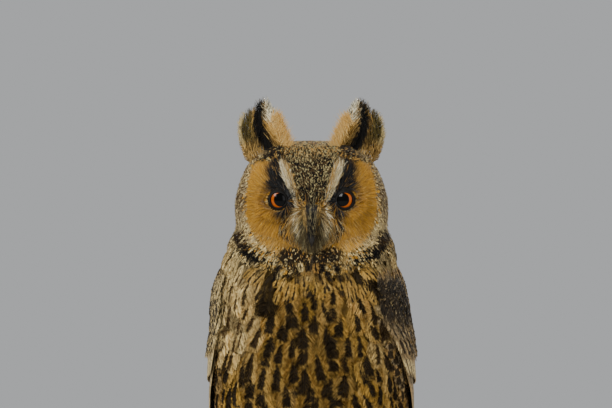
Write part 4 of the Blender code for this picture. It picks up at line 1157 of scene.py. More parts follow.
def tierPoints(side, tier, rise):
    t, across = vanePlaces[None, ..., 0], vanePlaces[None, ..., 1]
    count = tier["count"]
    index = np.arange(count)[:, None, None]
    part = index / (count - 1)
    (d0, s0, d1, s1), (e0, p0, e1, p1) = tier["roots"], tier["tips"]
    top, bottom = d0 + (d1 - d0) * part, e0 + (e1 - e0) * part
    reach = bottom + 0.16 * tier["width"] - top
    drop = top + reach * t

    def shareAt(fraction):
        begin, finish = d0 + (d1 - d0) * fraction, e0 + (e1 - e0) * fraction
        way = np.clip((drop - begin) / (finish - begin), 0, 1)
        return (s0 + (s1 - s0) * fraction) * (1 - way) + (p0 + (p1 - p0) * fraction) * way

    arc = np.interp(drop, arcDrops, arcLengths[side])
    first, last = shareAt(0.0), shareAt(1.0)
    step = vaneShape["step"] * (tier["solid"] - 1) / (count - 1)
    spacing = np.maximum((last - first) * arc / (count - 1), 0.5)
    roll = np.minimum(0.12, step / spacing)
    offset = across * tier["width"] / 2 * along(vaneShape["outline"], t)
    share = np.minimum(shareAt(part) + offset / arc, 0.985)
    height = along(tier["lift"], drop) + step * index - roll * (share - first) * arc - 0.4 * t**6
    return wingPoint(side, drop, share, height + rise)


wingTiers = {
    "primaries": {
        "count": 9, "solid": 6, "roots": (168, 0.02, 168, 0.5), "tips": (327, 0.3, 266, 0.5),
        "width": 13, "lift": [(168, 0.4), (190, 0.8), (335, 0.8)], "look": "flight",
    },
    "secondaries": {
        "count": 10, "solid": 6, "roots": (145, 0.1, 145, 0.7), "tips": (203, 0.12, 260, 0.7),
        "width": 14, "look": "flight",
        "lift": [(145, 1.6), (168, 3.9), (190, 5.2), (205, 5.8), (225, 6.4), (250, 7.6), (280, 8.6)],
    },
    "tertials": {
        "count": 4, "solid": 3, "roots": (130, 0.84, 130, 0.95), "tips": (240, 0.8, 273, 0.89),
        "width": 15, "look": "flight",
        "lift": [(120, 1.4), (145, 4.6), (168, 6.4), (190, 7.9), (225, 9.2), (250, 10.8), (280, 11.6)],
    },
    "greater_coverts": {
        "count": 11, "solid": 6, "roots": (112, 0.1, 112, 0.64), "tips": (166, 0.1, 190, 0.64),
        "width": 10.5, "look": "covert",
        "lift": [(100, 0.6), (120, 3.4), (145, 5.6), (168, 6.9), (190, 8.0), (205, 8.6)],
    },
    "median_coverts": {
        "count": 13, "solid": 7, "roots": (92, 0.05, 90, 0.64), "tips": (135, 0.05, 149, 0.64),
        "width": 8.5, "look": "covert",
        "lift": [(80, 0.0), (100, 3.2), (120, 6.3), (145, 7.8), (168, 8.9)],
    },
}
flightFeather = featherMaterial("flight_feather", bars=6.5, streakStart=0.0, freckles=1000.0, sheen=0.05)
covertFeather = featherMaterial("covert_feather", bars=3.0, streakStart=0.0, freckles=1000.0, sheen=0.05)


def wristShare(points, drop):  # the dark patch over the bird's left wrist
    front = np.abs(points[..., 0]) / mm - 3.5 * points[..., 1] / mm
    return soft(112, 100, drop) * soft(60, 95, front)


def wingGround(side, look):
    def colours(points, vane):
        count = len(points)
        drop = (crownZ - points[..., 2]) / mm
        chance = dice.random((count, 1))
        grizzle = dice.random(points.shape[:2])
        base = mixTone(tones.buff, tones.grey, 0.35 + 0.5 * chance + 0.25 * grizzle)
        if look != "flight" and side < 0:
            base = mixTone(base, tones.cream, 0.6 * soft(20, -20, points[..., 1] / mm))
        u, t = vane[..., 0], vane[..., 1]
        leading = soft(0.45, 0.1, u)
        if look == "flight":
            base = mixTone(base, tones.ochre, leading * 0.45 * soft(0.9, 0.4, t))
            base = mixTone(base, tones.brown, 0.35 * soft(0.6, 1.0, t))
        else:
            spot = soft(0.4, 0.16, u) * soft(0.72, 0.82, t) * soft(0.98, 0.93, t)
            base = mixTone(base, tones.cream, spot * (chance < 0.7))
            base = mixTone(base, tones.brown, 0.25 * soft(0.25, 0.6, u))
            if side > 0:
                base = mixTone(base, tones.black, wristShare(points, drop) * (grizzle < 0.85))
        return base

    return colours


flightMarks = {"flight": (0.0, 0.85, 0.35), "covert": (0.2, 0.35, 0.75)}
for side, word in bothSides:
    for name, tier in wingTiers.items():
        camber, thick = vaneRise(tier["width"])
        upper, lower = tierPoints(side, tier, camber + thick), tierPoints(side, tier, camber)
        piece = layVanes(
            f"{word}_{name}", flightFeather if tier["look"] == "flight" else covertFeather,
            upper, lower, vaneMap, wingGround(side, tier["look"]), tones.dark,
            np.array(flightMarks[tier["look"]]), side > 0,
        )
        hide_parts(word + "_wing")


# Lesser coverts and scapulars: small barbed feathers in rows over the arm and the shoulder

def wingRows(rows):  # roots and tips over the sheet, jittered
    starts, ends = [], []
    for row in range(rows["rows"]):
        down = row / max(1, rows["rows"] - 1)
        for k in range(rows["each"]):
            share = (k + 0.5 * (row % 2)) / (rows["each"] - 0.5)
            (d0, s0, d1, s1), (e0, p0, e1, p1) = rows["first"], rows["last"]
            drop = (d0 + (d1 - d0) * share) * (1 - down) + (e0 + (e1 - e0) * share) * down
            across = (s0 + (s1 - s0) * share) * (1 - down) + (p0 + (p1 - p0) * share) * down
            starts.append((drop, across))
            length = rows["length"][0] * (1 - down) + rows["length"][1] * down
            ends.append((drop + length, across + rows["drift"]))
    starts, ends = np.array(starts), np.array(ends)
    starts[:, 0] += dice.normal(0, 0.8, len(starts))
    ends[:, 0] += dice.normal(0, 1.5, len(ends))
    ends[:, 1] += dice.normal(0, 0.008, len(ends))
    return starts, ends


smallTiers = {
    "lesser_coverts": {
        "rows": 6, "each": 15, "first": (73, 0.03, 71, 0.7), "last": (101, 0.02, 105, 0.68),
        "length": (17, 22), "drift": 0.0, "width": 8.5, "barbs": 22, "ragged": 0.15, "sink": 3.5, "rise": 1.3,
        "lift": [(70, 2.2), (80, 3.2), (95, 4.8), (105, 5.6), (120, 7.8), (130, 8.4)],
    },
    "scapulars": {
        "rows": 6, "each": 5, "first": (74, 0.7, 72, 0.96), "last": (142, 0.74, 160, 0.92),
        "length": (24, 38), "drift": -0.01, "width": 13, "barbs": 34, "ragged": 0.12, "sink": 2.5,
        "rise": 1.0,
        "lift": [(70, 1.4), (80, 2.6), (100, 5.4), (120, 7.7), (145, 9.3), (168, 10.7), (205, 11.9)],
    },
}


def smallGround(side, name):
    def colours(points, whose, vane):
        drop = (crownZ - points[:, 2]) / mm
        chance = dice.random(whose.max() + 1)[whose]
        grizzle = dice.random(len(points))
        base = mixTone(tones.buff, tones.grey, 0.3 + 0.4 * chance + 0.3 * grizzle)
        spot = soft(0.62, 0.86, np.abs(vane[:, 0] * 2 - 1)) * soft(0.55, 0.75, vane[:, 1])
        base = mixTone(base, tones.cream, spot * (chance < 0.6))
        base = mixTone(base, tones.ochre, soft(0.5, 0.1, vane[:, 1]) * 0.4)
        if side < 0:
            base = mixTone(base, tones.cream, 0.7 * soft(20, -20, points[:, 1] / mm))
        if side > 0 and name == "lesser_coverts":
            wrist = wristShare(points, drop) * soft(76, 82, drop)
            base = mixTone(base, tones.black, wrist * (grizzle < 0.85))
        return base

    return colours


for side, word in bothSides:
    for name, rows in smallTiers.items():
        starts, ends = wingRows(rows)
        halfway = (starts + ends) / 2
        guides, ups = [], []
        for spot, extra in ((starts, -rows["sink"]), (halfway, 0.0), (ends, rows["rise"] * 0.6)):
            height = along(rows["lift"], spot[:, 0]) + extra
            if side < 0:
                height = height + 2.6 * soft(112, 90, spot[:, 0]) * soft(0.6, 0.3, spot[:, 1])
            guides.append(wingPoint(side, spot[:, 0], spot[:, 1], height))
            ups.append(unit(guides[-1] - wingPoint(side, spot[:, 0], spot[:, 1], height - 4)))
        lie = unit(guides[2] - guides[0])
        width = rows["width"] * mm * dice.uniform(0.9, 1.15, len(starts))
        unwrapped = np.stack([0.03 + 0.94 * starts[:, 1], 1 - starts[:, 0] / 340], -1)
        traits = np.tile([0.3, 0.35, 0.6], (len(starts), 1))
        mark = np.tile(tones.dark, (len(starts), 1))
        piece = barbedFeathers(
            f"{word}_{name}", rows, covertFeather, guides, ups, np.cross(lie, ups[1]),
            width, unwrapped, smallGround(side, name), mark, traits,
        )
        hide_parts(word + "_wing")


# Tail: twelve feathers in a closed fan, the middle pair uppermost
tail = {"pairs": 6, "root": 226, "end": 333, "stagger": 1.4, "width": 13.6, "spacing": 2.75, "step": 0.55}


def tailPoints(rise):
    t, across = vanePlaces[..., 0], vanePlaces[..., 1]
    feathers = []
    for pair in range(tail["pairs"]):
        for side in (1, -1):
            layer = pair * 2 + (side < 0)
            drop = tail["root"] + (tail["end"] - tail["stagger"] * pair - tail["root"]) * t
            drop = drop - 2.0 * across**2 * t**4
            fan = 0.6 + 0.4 * np.minimum(1, 1.4 * t)
            x = side * (0.8 + tail["spacing"] * pair) * fan
            x = x + across * tail["width"] / 2 * along(vaneShape["outline"], t)
            depth = tail["step"] * layer + 0.05 * np.abs(x)
            y = 41.8 + (drop - 212) * 0.145 - depth + rise - 0.6
            feathers.append(inWorld(x, y, drop))
    return np.array(feathers)


def tailGround(points, vane):
    grizzle = dice.random(points.shape[:2])
    base = mixTone(tones.grey, tones.buff, 0.4 + 0.4 * grizzle)
    return mixTone(base, tones.ochre, 0.5 * soft(0.5, 0.1, vane[..., 1]))


camber, thick = vaneRise(tail["width"])
tailPiece = layVanes(
    "tail_feathers", flightFeather, tailPoints(camber + thick), tailPoints(camber),
    vaneMap, tailGround, tones.dark, np.array([0.0, 0.9, 0.4]), False,
)
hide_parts("tail")
print("wings and tail done")


# Ear tufts: roots along the crown's corner, tips where the photograph has them

tufts = {
    # how far out and above the crown each tip stands, from the innermost feather to the outermost
    "tips": [
        (17.5, 8), (19.2, 11.5), (20.6, 15), (22.2, 18), (24, 21), (25.8, 23.4), (27.6, 24.8), (29.4, 24.8),
        (31.2, 23.4), (33.2, 20.8), (35.6, 19), (38, 17.8), (40.4, 15.6), (42, 12), (42.6, 7.5), (41.8, 3),
        (39.6, -1.5),
    ],
    "innerRoot": (13.5, -13, 9),
    "outerRoot": (32.5, -4.5, 14),
    "turns": (-18, 58),
    "lean": 0.88,
    "width": 8.6,
    "blackLine": [(-24, 30.2), (-13, 31.4), (-4, 29.5), (3.5, 25.5), (9, 20)],
    "blackHalf": [(-25, 2.4), (-16, 3.6), (-4, 4.6), (9, 4.4)],
}
tuftBarbs = {"barbs": 44, "tip": 3.0, "ragged": 0.12, "cup": 0.18, "sway": 0.0, "kinds": 5, "paintedRootShade": 0.85}
fringe = {
    "count": 1300, "length": 6.0, "width": 0.22, "spread": 1.2,
    # x, y and drop of the fringe's inner and outer end
    "ends": [(13.5, 22), (-13.5, -1), (6.5, -13)],
}
tuftFeather = featherMaterial("tuft_feather", bars=2.0, freckles=1500.0, bump=0.1)


def tuftGround(points, whose, vane):
    x, _, drop = fromCrown(points)
    wave = dice.normal(0, 1.0, len(points))
    fromBlack = np.abs(x) - along(tufts["blackLine"], drop) + wave * 0.9
    half = along(tufts["blackHalf"], drop)
    chance = dice.random(len(points))
    base = mixTone(mixTone(tones.ochre, tones.tan, chance), tones.cream, chance * 0.3)
    inner = soft(-15, -5, fromBlack + wave) * soft(-13, 1, drop)
    base = mixTone(base, tones.dark, inner * (chance < 0.6) * 0.8)
    white = soft(-half + 0.5, -half - 1, fromBlack) * soft(-9, -13, drop + 0.35 * (np.abs(x) - 22))
    base = mixTone(base, mixTone(tones.white, tones.dark, (chance < 0.4) * 0.9), white)
    olive = soft(half - 0.5, half + 1, fromBlack) * soft(4, -3, drop)
    oliveTone = mixTone(tones.dark, tones.olive * (0.95, 1.0, 0.5), 0.05 + chance * 0.55)
    base = mixTone(base, oliveTone, olive)
    outline = np.array([(tip[1], tip[0]) for tip in tufts["tips"][-5:]])
    gap = np.interp(-drop, outline[::-1, 0], outline[::-1, 1]) - np.abs(x)
    base = mixTone(base, tones.cream, olive * soft(1.5, 0.5, gap) * 0.6)
    return mixTone(base, tones.black, soft(half + 0.4, half - 0.8, np.abs(fromBlack)))


for side, word in bothSides:
    count = len(tufts["tips"])
    share = np.linspace(0, 1, count)[:, None]
    inner, outer = np.array(tufts["innerRoot"], float), np.array(tufts["outerRoot"], float)
    root = inner * (1 - share) + outer * share
    tips = np.array(tufts["tips"], float) + dice.normal(0, 0.3, (count, 2))
    tip = np.stack([tips[:, 0], root[:, 1] + tufts["lean"] * (root[:, 2] + tips[:, 1]), -tips[:, 1]], -1)
    bow = np.array([0.0, -1.6, 0.0]) + np.stack([1.6 * share[:, 0], 0 * share[:, 0], 0 * share[:, 0]], -1)
    guides = [inWorld(side * s[:, 0], s[:, 1], s[:, 2]) for s in (root, (root + tip) / 2 + bow, tip)]
    turn = np.radians(np.linspace(*tufts["turns"], count))
    across = np.stack([side * np.cos(turn), np.sin(turn), 0 * turn], -1)
    lie = unit(guides[2] - guides[0])
    across = unit(across - lie * np.sum(across * lie, -1, keepdims=True))
    up = unit(np.cross(across, lie)) * side
    layered = np.linspace(-0.6, 0.6, count)[:, None] * mm * up
    guides = [guide + layered for guide in guides]
    width = tufts["width"] * mm * np.interp(share[:, 0], [0, 0.4, 1], [0.8, 1.05, 0.9])
    unwrapped = np.stack([0.5 + side * (0.05 + 0.35 * share[:, 0]), 0.5 + 0 * share[:, 0]], -1)
    whole = np.ones((count, 3))
    piece = barbedFeathers(
        word + "_tuft_feathers", tuftBarbs, tuftFeather, guides, [up, up, up], across,
        width, unwrapped, tuftGround, whole * tones.black, whole * (0.0, 0.0, 0.25),
    )
    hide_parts(word + "_ear_tuft")

    place = dice.random(fringe["count"])
    low = np.stack([np.interp(place, [0, 1], ends) for ends in fringe["ends"]], -1)
    low = low + dice.normal(0, fringe["spread"], low.shape)
    low[:, 0] *= side
    points = inWorld(*low.T)
    lie = unit(np.stack([
        -side * dice.uniform(0.1, 0.8, fringe["count"]), dice.uniform(-0.3, 0.5, fringe["count"]),
        dice.uniform(0.6, 1.2, fringe["count"]),
    ], -1))
    facing = unit(np.cross(np.tile([side * 1.0, 0.2, 0.0], (fringe["count"], 1)), lie))
    rows, vane = strands(
        points, facing, lie, fringe["length"] * mm * dice.uniform(0.6, 1.2, fringe["count"]),
        fringe["width"] * mm, lift=0.0, bend=0.1, sway=0.15,
    )
    ribbon = rows.shape[1]
    # the fringe's own buff tone, lightened with cream and ochre as painted glow of light shining through the
    # hairs from behind
    ground = mixTone(tones.tan, tones.cream, dice.random(fringe["count"]) * 0.8)
    ground = mixTone(ground, tones.ochre, dice.random(fringe["count"]) * 0.7)
    unwrapped = np.stack([0.1 + 0.3 * place, 0.1 + 0.0 * place], -1)
    piece = writeMesh(
        word + "_tuft_fringe", rows, ladder(fringe["count"], 3), vane, patches(unwrapped, vane),
        np.repeat(ground, ribbon, 0), np.repeat(ground, ribbon, 0), np.zeros((fringe["count"] * ribbon, 3)),
        faceFeather,
    )
    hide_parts(word + "_ear_tuft")
print("ear tufts done")


# Eyes: a wet ball with the iris painted in rings about its gaze, and a black lid round it
eye = {
    "radius": 9.2 * mm, "gaze": -8.5, "lidTurn": 1.0, "pupil": 4.1, "iris": 5.7, "opening": 4.5,
    "lidEnd": 7.6, "lidThick": 0.4,
    # share of the way out, distance from the eye's axis and in front of its middle
    "lidProfile": [
        (0, 4.45, 8.3), (0.12, 4.7, 8.65), (0.3, 5.3, 8.5), (0.5, 6.2, 7.7), (0.75, 7.3, 6.4), (1, 8.6, 4.8),
    ],
    "ringHair": [(5.4, 8.4), (6.2, 7.6), (7.3, 6.3), (8.6, 5.0)],
}


lashes = {"count": 1500, "length": 3.2, "width": 0.28, "near": 5.4, "far": 8.6}


def facingFront(centre, angle):  # turns a form made about +Z to look forward from the centre
    turn = Matrix.Rotation(angle, 4, "Z") @ Matrix.Rotation(math.pi / 2, 4, "X")
    return Matrix.Translation(Vector(centre)) @ turn


def makeEyeMaterial():
    material, tree, shader = plainMaterial("eye_ball", (0.5, 0.15, 0.01), 0.08, coatWeight=0.1, specular=0.06)
    shader.inputs["Coat Roughness"].default_value = 0.03
    place = newNode(tree, "ShaderNodeUVMap", uv_map="gaze").outputs["UV"]
    axes = newNode(tree, "ShaderNodeSeparateXYZ", Vector=place).outputs
    away = calc(tree, "MULTIPLY", axes[1], eye["radius"] / mm)
    turns = newNode(tree, "ShaderNodeCombineXYZ", X=calc(tree, "MULTIPLY", axes[0], 44.0), Y=axes[1])
    fibres = newNode(tree, "ShaderNodeTexNoise", Vector=turns.outputs[0], Scale=2.2, Detail=3.0).outputs[0]
    orange = mixColour(tree, fibres, tone(134, 56, 4), tone(178, 88, 8))
    deep = mixColour(tree, ramp(tree, away, eye["pupil"] + 1.4, eye["iris"]), orange, tone(120, 40, 0))
    iris = mixColour(tree, ramp(tree, away, eye["pupil"] - 0.12, eye["pupil"] + 0.12), tone(3, 3, 3), deep)
    whole = mixColour(tree, ramp(tree, away, eye["iris"] - 0.2, eye["iris"] + 0.3), iris, tone(8, 6, 5))
    tree.links.new(whole, shader.inputs["Base Color"])
    return material


eyeMaterial = makeEyeMaterial()
lidMaterial = mottledMaterial(
    "lid_skin", (0.02, 0.018, 0.016), 0.6, 0.15, 0.35, (1800.0, 2.0), (0.35, 0.0002))


for side, word in bothSides:
    centre = np.array(eyes[side])
    gaze = math.radians(eye["gaze"]) * side
    ball = addPrimitive("uv_sphere", word + "_eye_ball", segments=64, ring_count=48, radius=eye["radius"])
    ball.data.transform(facingFront(centre, gaze))
    axis = np.array([math.sin(gaze), -math.cos(gaze), 0.0])
    points, _ = meshArrays(ball.data)
    away = (points - centre) / eye["radius"]
    polar = np.arccos(np.clip(away @ axis, -1, 1))
    sideways = away @ np.array([math.cos(gaze), math.sin(gaze), 0.0])
    turns = np.arctan2(away[:, 2], sideways) / (2 * math.pi) + 0.5
    cells = readOut(ball.data.loops, "vertex_index", 1, np.int32)[:, 0]
    around = turns[cells]
    faceOf = np.repeat(np.arange(len(ball.data.polygons)), [p.loop_total for p in ball.data.polygons])
    highest = np.full(len(ball.data.polygons), -1.0)
    np.maximum.at(highest, faceOf, around)
    around = np.where(highest[faceOf] - around > 0.5, around + 1, around)
    ball.data.uv_layers[0].name = "OFBake"
    ball.data.uv_layers.new(name="gaze").data.foreach_set("uv", flat(np.stack([around, polar[cells]], -1)))
    ball.data.materials.append(eyeMaterial)
    pick(ball)
    bpy.ops.object.shade_smooth()
    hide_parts(word + "_eye")
    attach(ball, "root")

    turned = math.radians(eye["lidTurn"]) * side
    lid = addPrimitive("uv_sphere", word + "_eye_lid", segments=64, ring_count=64, radius=eye["radius"])
    bm = bmesh.new()
    bm.from_mesh(lid.data)
    opening, end = (math.asin(eye[key] * mm / eye["radius"]) for key in ("opening", "lidEnd"))
    for vert in bm.verts:
        vert.tag = not opening < vert.co.angle(Vector((0, 0, 1)), 0.0) < end
    bmesh.ops.delete(bm, geom=[vert for vert in bm.verts if vert.tag], context="VERTS")
    polars = [vert.co.angle(Vector((0, 0, 1))) for vert in bm.verts]
    profile = np.array(eye["lidProfile"])
    for vert, polar in zip(bm.verts, polars):
        angle = math.atan2(vert.co.y, vert.co.x)
        share = (polar - min(polars)) / (max(polars) - min(polars))
        out = np.interp(share, profile[:, 0], profile[:, 1])
        out = out - 0.6 * max(0.0, math.sin(angle)) ** 2 * (1 - share)
        forward = np.interp(share, profile[:, 0], profile[:, 2])
        vert.co = Vector((out * math.cos(angle), out * math.sin(angle), forward)) * mm
    bm.to_mesh(lid.data)
    bm.free()
    lid.data.transform(facingFront(centre, turned))
    applyModifier(lid, "SOLIDIFY", thickness=eye["lidThick"] * mm, offset=-1.0)
    applyModifier(lid, "SUBSURF", levels=1, render_levels=1)
    lid.data.uv_layers[0].name = "OFBake"
    points, _ = meshArrays(lid.data)
    lidAxis = np.array([math.sin(turned), -math.cos(turned), 0.0])
    forward = (points - centre) @ lidAxis
    outward = np.linalg.norm(points - centre - forward[:, None] * lidAxis, axis=1) / mm
    lidTone = mixTone(np.tile(tones.black, (len(points), 1)), tones.brown, soft(5.8, 7, outward))
    addColours(lid.data, "ground", lidTone)
    lid.data.materials.append(lidMaterial)
    pick(lid)
    bpy.ops.object.shade_smooth()
    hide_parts(word + "_eye")
    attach(lid, "root")

    angle = dice.uniform(0, 2 * math.pi, lashes["count"])
    radius = dice.uniform(lashes["near"], lashes["far"], lashes["count"])
    outward = np.stack([np.cos(angle), 0 * angle, np.sin(angle)], -1)
    spots = centre + outward * radius[:, None] * mm
    spots[:, 1] = centre[1] - along(eye["ringHair"], radius) * mm
    for k, spot in enumerate(spots):
        hit = surface.ray_cast(Vector((spot[0], centre[1] - 30 * mm, spot[2])), Vector((0, 1, 0)))[0]
        if hit:
            spots[k, 1] = min(spot[1], hit.y)
    facing = unit(outward * 0.75 + np.array([0.0, -1.0, 0.0]))
    away = lay(outward, facing)
    rows, vane = strands(
        spots, facing, away, lashes["length"] * mm * dice.uniform(0.6, 1.2, len(angle)),
        lashes["width"] * mm, sink=0.3 * mm, lift=0.25, bend=0.2, steps=2,
    )
    outside = soft(-0.1, 0.3, outward[:, 0] * side - 0.85 * outward[:, 2])
    chance = dice.random(len(angle))
    near = mixTone(tones.cream, tones.olive, np.where(dice.random(len(angle)) < 0.5, 1.0, 0.3))
    far = mixTone(tones.discOchre, tones.discShade, chance * 0.6)
    ground = mixTone(near, far, np.maximum(soft(5.5, 6.0, radius), soft(0.1, 0.5, outward[:, 2])))
    ground = mixTone(np.tile(tones.black, (len(angle), 1)), ground, outside * (chance < 0.94))
    ground = np.repeat(ground, rows.shape[1], 0)
    unwrapped = np.stack([0.5 + 0.3 * outward[:, 0], 0.5 + 0.3 * outward[:, 2]], -1)
    writeMesh(
        word + "_eye_lashes", rows, ladder(len(angle), 2), vane, patches(unwrapped, vane), ground, ground,
        np.zeros(ground.shape), faceFeather,
    )


# Horn of the bill and claws: the solids' own shapes, made smooth

def makeHornMaterial():
    material, tree, shader = plainMaterial("black_horn", (0.02, 0.018, 0.015), 0.28, specular=0.3)
    noise = objectNoise(tree, 900.0, 3.0, (1.0, 1.0, 0.25))
    finish(tree, mixColour(tree, noise, tone(12, 11, 10), tone(40, 35, 30)), noise, 0.12, 0.0002)
    tree.links.new(calc(tree, "ADD", calc(tree, "MULTIPLY", noise, 0.3), 0.2), shader.inputs["Roughness"])
    return material


hornMaterial = makeHornMaterial()


def smoothCopy(node, voxel, smoothing):
    obj = copyNode(node)
    obj.name = node + "_horn"
    obj.data.materials.clear()
    applyModifier(obj, "REMESH", mode="VOXEL", voxel_size=voxel * mm)
    applyModifier(obj, "SMOOTH", factor=0.5, iterations=smoothing)
    obj.data.materials.append(hornMaterial)
    unwrapPiece(obj)
    bpy.ops.object.shade_smooth()
    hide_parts(node)
    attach(obj, "root")


for node in ("bill_upper", "bill_lower"):
    smoothCopy(node, 0.28, 30)
for word in ("left", "right"):
    for toe in ("inner", "middle", "outer", "hind"):
        smoothCopy(f"{word}_claw_{toe}", 0.25, 12)

# Bristles that lie over the bill's sides and ridge
billBristles = {"count": 1500, "width": 0.28, "steps": 7, "over": 0.35}
missed = 1.0  # what a ray that meets nothing gives: far behind the bird


def frontOf(tree, x, drop):
    hit = tree.ray_cast(Vector((x * mm, -0.2, crownZ - drop * mm)), Vector((0, 1, 0)))[0]
    return hit.y if hit else missed


def layBillBristles():
    count, steps = billBristles["count"], billBristles["steps"]
    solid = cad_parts["bill_upper"]
    bill = BVHTree.FromPolygons(
        [tuple(solid.matrix_world @ vert.co) for vert in solid.data.vertices],
        [tuple(face.vertices) for face in solid.data.polygons],
    )
    across = dice.uniform(-5.6, 5.6, count)
    top = dice.uniform(36.5, 46, count)
    length = dice.uniform(6, 13, count) * np.interp(np.abs(across), [0, 2, 5], [0.8, 1.0, 1.15])
    sway, proud = dice.normal(0, 0.5, count), dice.uniform(0.1, 1.0, count)
    points = np.empty((count, steps + 1, 2, 3))
    for k in range(count):
        for n in range(steps + 1):
            t = n / steps
            x = across[k] * (1 - 0.22 * t) + sway[k] * t
            drop = top[k] + length[k] * t
            y = min(frontOf(bill, x, drop), frontOf(surface, x, drop))
            if y == missed:
                y = points[k, n - 1, 0, 1]
            y -= (billBristles["over"] + proud[k] * t) * mm
            half = billBristles["width"] / 2 * (1 - 0.8 * t) * mm
            for m, edge in enumerate((-half, half)):
                points[k, n, m] = (x * mm + edge, y, crownZ - drop * mm)
    draw = dice.random(count)[:, None]
    ground = np.where(draw < 0.68, tones.black, np.where(draw < 0.88, tones.dark, tones.pepper))
    outer = np.where(draw < 0.34, tones.dark, np.where(draw < 0.68, tones.olive, tones.tan))
    ground = mixTone(ground, outer, soft(2.9, 4.2, np.abs(across)))
    ground = np.repeat(ground, 2 * (steps + 1), 0)
    vane = ribbonMap(count, steps)
    unwrapped = np.stack([0.5 + across / 15, 0.9 - (top - 36) / 15], -1)
    writeMesh(
        "bill_bristles", points, ladder(count, steps), vane, patches(unwrapped, vane), ground, ground,
        np.zeros(ground.shape), faceFeather,
    )


layBillBristles()
print("eyes, bill and claws done")


# Perch: a cut length of branch with furrowed bark and ringed ends

branch = {"voxel": 0.85, "furrow": 0.9}


def waves(values, seed, low, high):  # smooth noise from a few sine waves, the same each run
    chance = np.random.default_rng(seed)
    total = np.zeros(len(values))
    for _ in range(14):
        direction = unit(chance.normal(size=values.shape[1])) * chance.uniform(low, high)
        total += np.sin(values @ direction + chance.uniform(0, 6.3))
    return total / 3.7


perch = copyNode("perch_branch")
perch.name = "perch_bark"
perch.data.materials.clear()
applyModifier(perch, "REMESH", mode="VOXEL", voxel_size=branch["voxel"] * mm)
applyModifier(perch, "SMOOTH", factor=0.5, iterations=3)
points, normals = meshArrays(perch.data)
x, y, z = points[:, 0] / mm, points[:, 1] / mm, (points[:, 2] - perchZ) / mm
angle = np.arctan2(y, z)
spun = np.stack([np.cos(angle) * 9, np.sin(angle) * 9, x * 0.14], -1)
ridges = np.abs(waves(spun, 3, 1.5, 3.0)) + 0.35 * np.abs(waves(np.stack([x, y, z], -1) * 0.5, 5, 0.6, 1.6))
half = (perchHigh.x - perchLow.x) / 2 / mm
bark = soft(half - 0.6, half - 1.6, np.abs(x))
lift = -branch["furrow"] * (1 - np.clip(ridges, 0, 1)) * bark
moved = points + normals * (lift * mm)[:, None]
perch.data.vertices.foreach_set("co", flat(moved))
radius = np.hypot(y, z)
ends = 1 - soft(half - 0.4, half - 1.2, np.abs(x))
rings = 0.5 + 0.5 * np.sin(radius * 3.6 + 0.8 * waves(np.stack([y, z], -1) * 0.25, 7, 0.5, 1.2))
barkTone = mixTone(np.tile(tone(58, 46, 36), (len(x), 1)), tone(128, 112, 90), np.clip(ridges * 0.8, 0, 1))
lichen = soft(0.55, 0.95, waves(np.stack([x, y, z], -1) * 0.09, 11, 0.8, 1.8))
barkTone = mixTone(barkTone, tone(140, 146, 116), lichen * 0.55)
woodTone = mixTone(np.tile(tone(196, 164, 118), (len(x), 1)), tone(146, 108, 66), rings * 0.7)
woodTone = mixTone(woodTone, tone(70, 54, 40), soft(perchRadius / mm - 1.6, perchRadius / mm - 0.7, radius))
addColours(perch.data, "ground", mixTone(barkTone, woodTone, ends))


perch.data.materials.append(mottledMaterial(
    "perch_bark", (0.14, 0.1, 0.07), 0.85, 0.5, 0.55, (800.0, 4.0, (0.3, 1.0, 1.0)), (0.6, 0.0005)))
unwrapPiece(perch)
bpy.ops.object.shade_smooth()
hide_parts("perch_branch")
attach(perch, "root")


# Display stand: an oval walnut base and two steel rods, each with a turned foot

stand = {
    "sides": 128, "edge": 2.5, "rodRadius": 4.0, "footRadius": 9.0, "footHeight": 3.5, "footTaper": 0.55,
    "rodSides": 48,
}


def makeWalnut():
    material, tree, shader = plainMaterial("oiled_walnut", (0.1, 0.05, 0.025), 0.4, coatWeight=0.15)
    wide = objectNoise(tree, 60.0, 4.0, (0.16, 1.0, 1.0), Distortion=0.6)
    fine = objectNoise(tree, 900.0, 2.0, (0.16, 1.0, 1.0))
    grain = mixColour(tree, ramp(tree, wide, 0.35, 0.65), tone(58, 34, 20), tone(112, 72, 44))
    finish(tree, mixColour(tree, ramp(tree, fine, 0.5, 0.7), grain, tone(40, 24, 15)), fine, 0.12, 0.0002)
    tree.links.new(calc(tree, "ADD", calc(tree, "MULTIPLY", fine, 0.25), 0.28), shader.inputs["Roughness"])
    return material


def makeSteel():
    material, tree, shader = plainMaterial("satin_steel", (0.05, 0.05, 0.055), 0.4, metallic=0.7)
    noise = objectNoise(tree, 700.0, 2.0)
    tree.links.new(mixColour(tree, noise, tone(46, 47, 50), tone(66, 67, 70)), shader.inputs["Base Color"])
    tree.links.new(calc(tree, "ADD", calc(tree, "MULTIPLY", noise, 0.25), 0.28), shader.inputs["Roughness"])
    return material


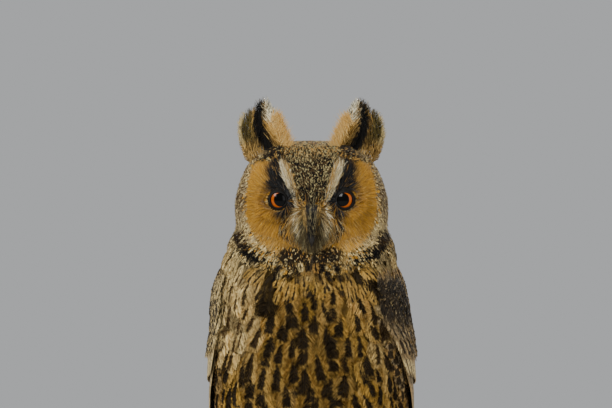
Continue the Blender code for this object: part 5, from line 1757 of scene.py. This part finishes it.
creaseAngle = math.radians(35)
baseLow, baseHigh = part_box("stand_base")
thick = baseHigh.z - baseLow.z
base = addPrimitive("cylinder", "stand_base_walnut", vertices=stand["sides"], radius=0.5, depth=1.0)
base.data.transform(Matrix.Translation((0, 0, thick / 2)) @ Matrix.Diagonal(
    (baseHigh.x - baseLow.x, baseHigh.y - baseLow.y, thick, 1)))
bm = bmesh.new()
bm.from_mesh(base.data)
rim = [edge for edge in bm.edges if all(vert.co.z > thick / 2 for vert in edge.verts)]
bmesh.ops.bevel(bm, geom=rim, offset=stand["edge"] * mm, segments=6, affect="EDGES", profile=0.5)
bm.to_mesh(base.data)
bm.free()
base.data.materials.append(makeWalnut())
unwrapPiece(base)
bpy.ops.object.shade_smooth_by_angle(angle=creaseAngle)
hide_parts("stand_base")
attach(base, "root")

steel = makeSteel()
for word in ("left", "right"):
    low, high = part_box("stand_rod_" + word)
    middle = ((low.x + high.x) / 2, 0, (low.z + high.z) / 2)
    rod = addPrimitive(
        "cylinder", f"stand_rod_{word}_steel", vertices=stand["rodSides"], radius=stand["rodRadius"] * mm,
        depth=high.z - low.z, location=middle,
    )
    footHeight = stand["footHeight"] * mm
    foot = addPrimitive(
        "cone", "foot", vertices=stand["rodSides"], radius1=stand["footRadius"] * mm,
        radius2=stand["footRadius"] * stand["footTaper"] * mm, depth=footHeight,
        location=(middle[0], 0, low.z + footHeight / 2),
    )
    applyModifier(foot, "BEVEL", width=0.6 * mm, segments=3, limit_method="ANGLE")
    deselectAll()
    rod.select_set(True)
    foot.select_set(True)
    bpy.context.view_layer.objects.active = rod
    bpy.ops.object.join()
    bpy.ops.object.transform_apply(location=True, rotation=True, scale=True)
    rod.data.materials.append(steel)
    unwrapPiece(rod)
    bpy.ops.object.shade_smooth_by_angle(angle=creaseAngle)
    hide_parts("stand_rod_" + word)
    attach(rod, "root")
print("perch and stand done")


# Lights and floor
floor = addPrimitive("plane", "floor", size=9.8)
floor.data.materials.append(plainMaterial("pale_floor", (0.72, 0.71, 0.69), 0.8)[0])

lamps = {
    # place, power in watts, size
    "key": ((-0.9, -1.5, 1.5), 44, 0.8),
    "fill": ((1.4, -1.2, 0.7), 10, 1.2),
    "back": ((0.5, 1.5, 1.3), 34, 0.8),
}
lampAim = Vector((0, 0, 0.27))
for name, (place, power, size) in lamps.items():
    data = bpy.data.lights.new(name, "AREA")
    data.energy = power
    data.size = size
    lamp = link(name, data)
    lamp.location = place
    lamp.rotation_euler = (lampAim - Vector(place)).to_track_quat("-Z", "Y").to_euler()
world = bpy.data.worlds.new("studio")
world.use_nodes = True
world.node_tree.nodes["Background"].inputs[0].default_value = (0.86, 0.88, 0.9, 1)
world.node_tree.nodes["Background"].inputs[1].default_value = 0.5
bpy.context.scene.world = world
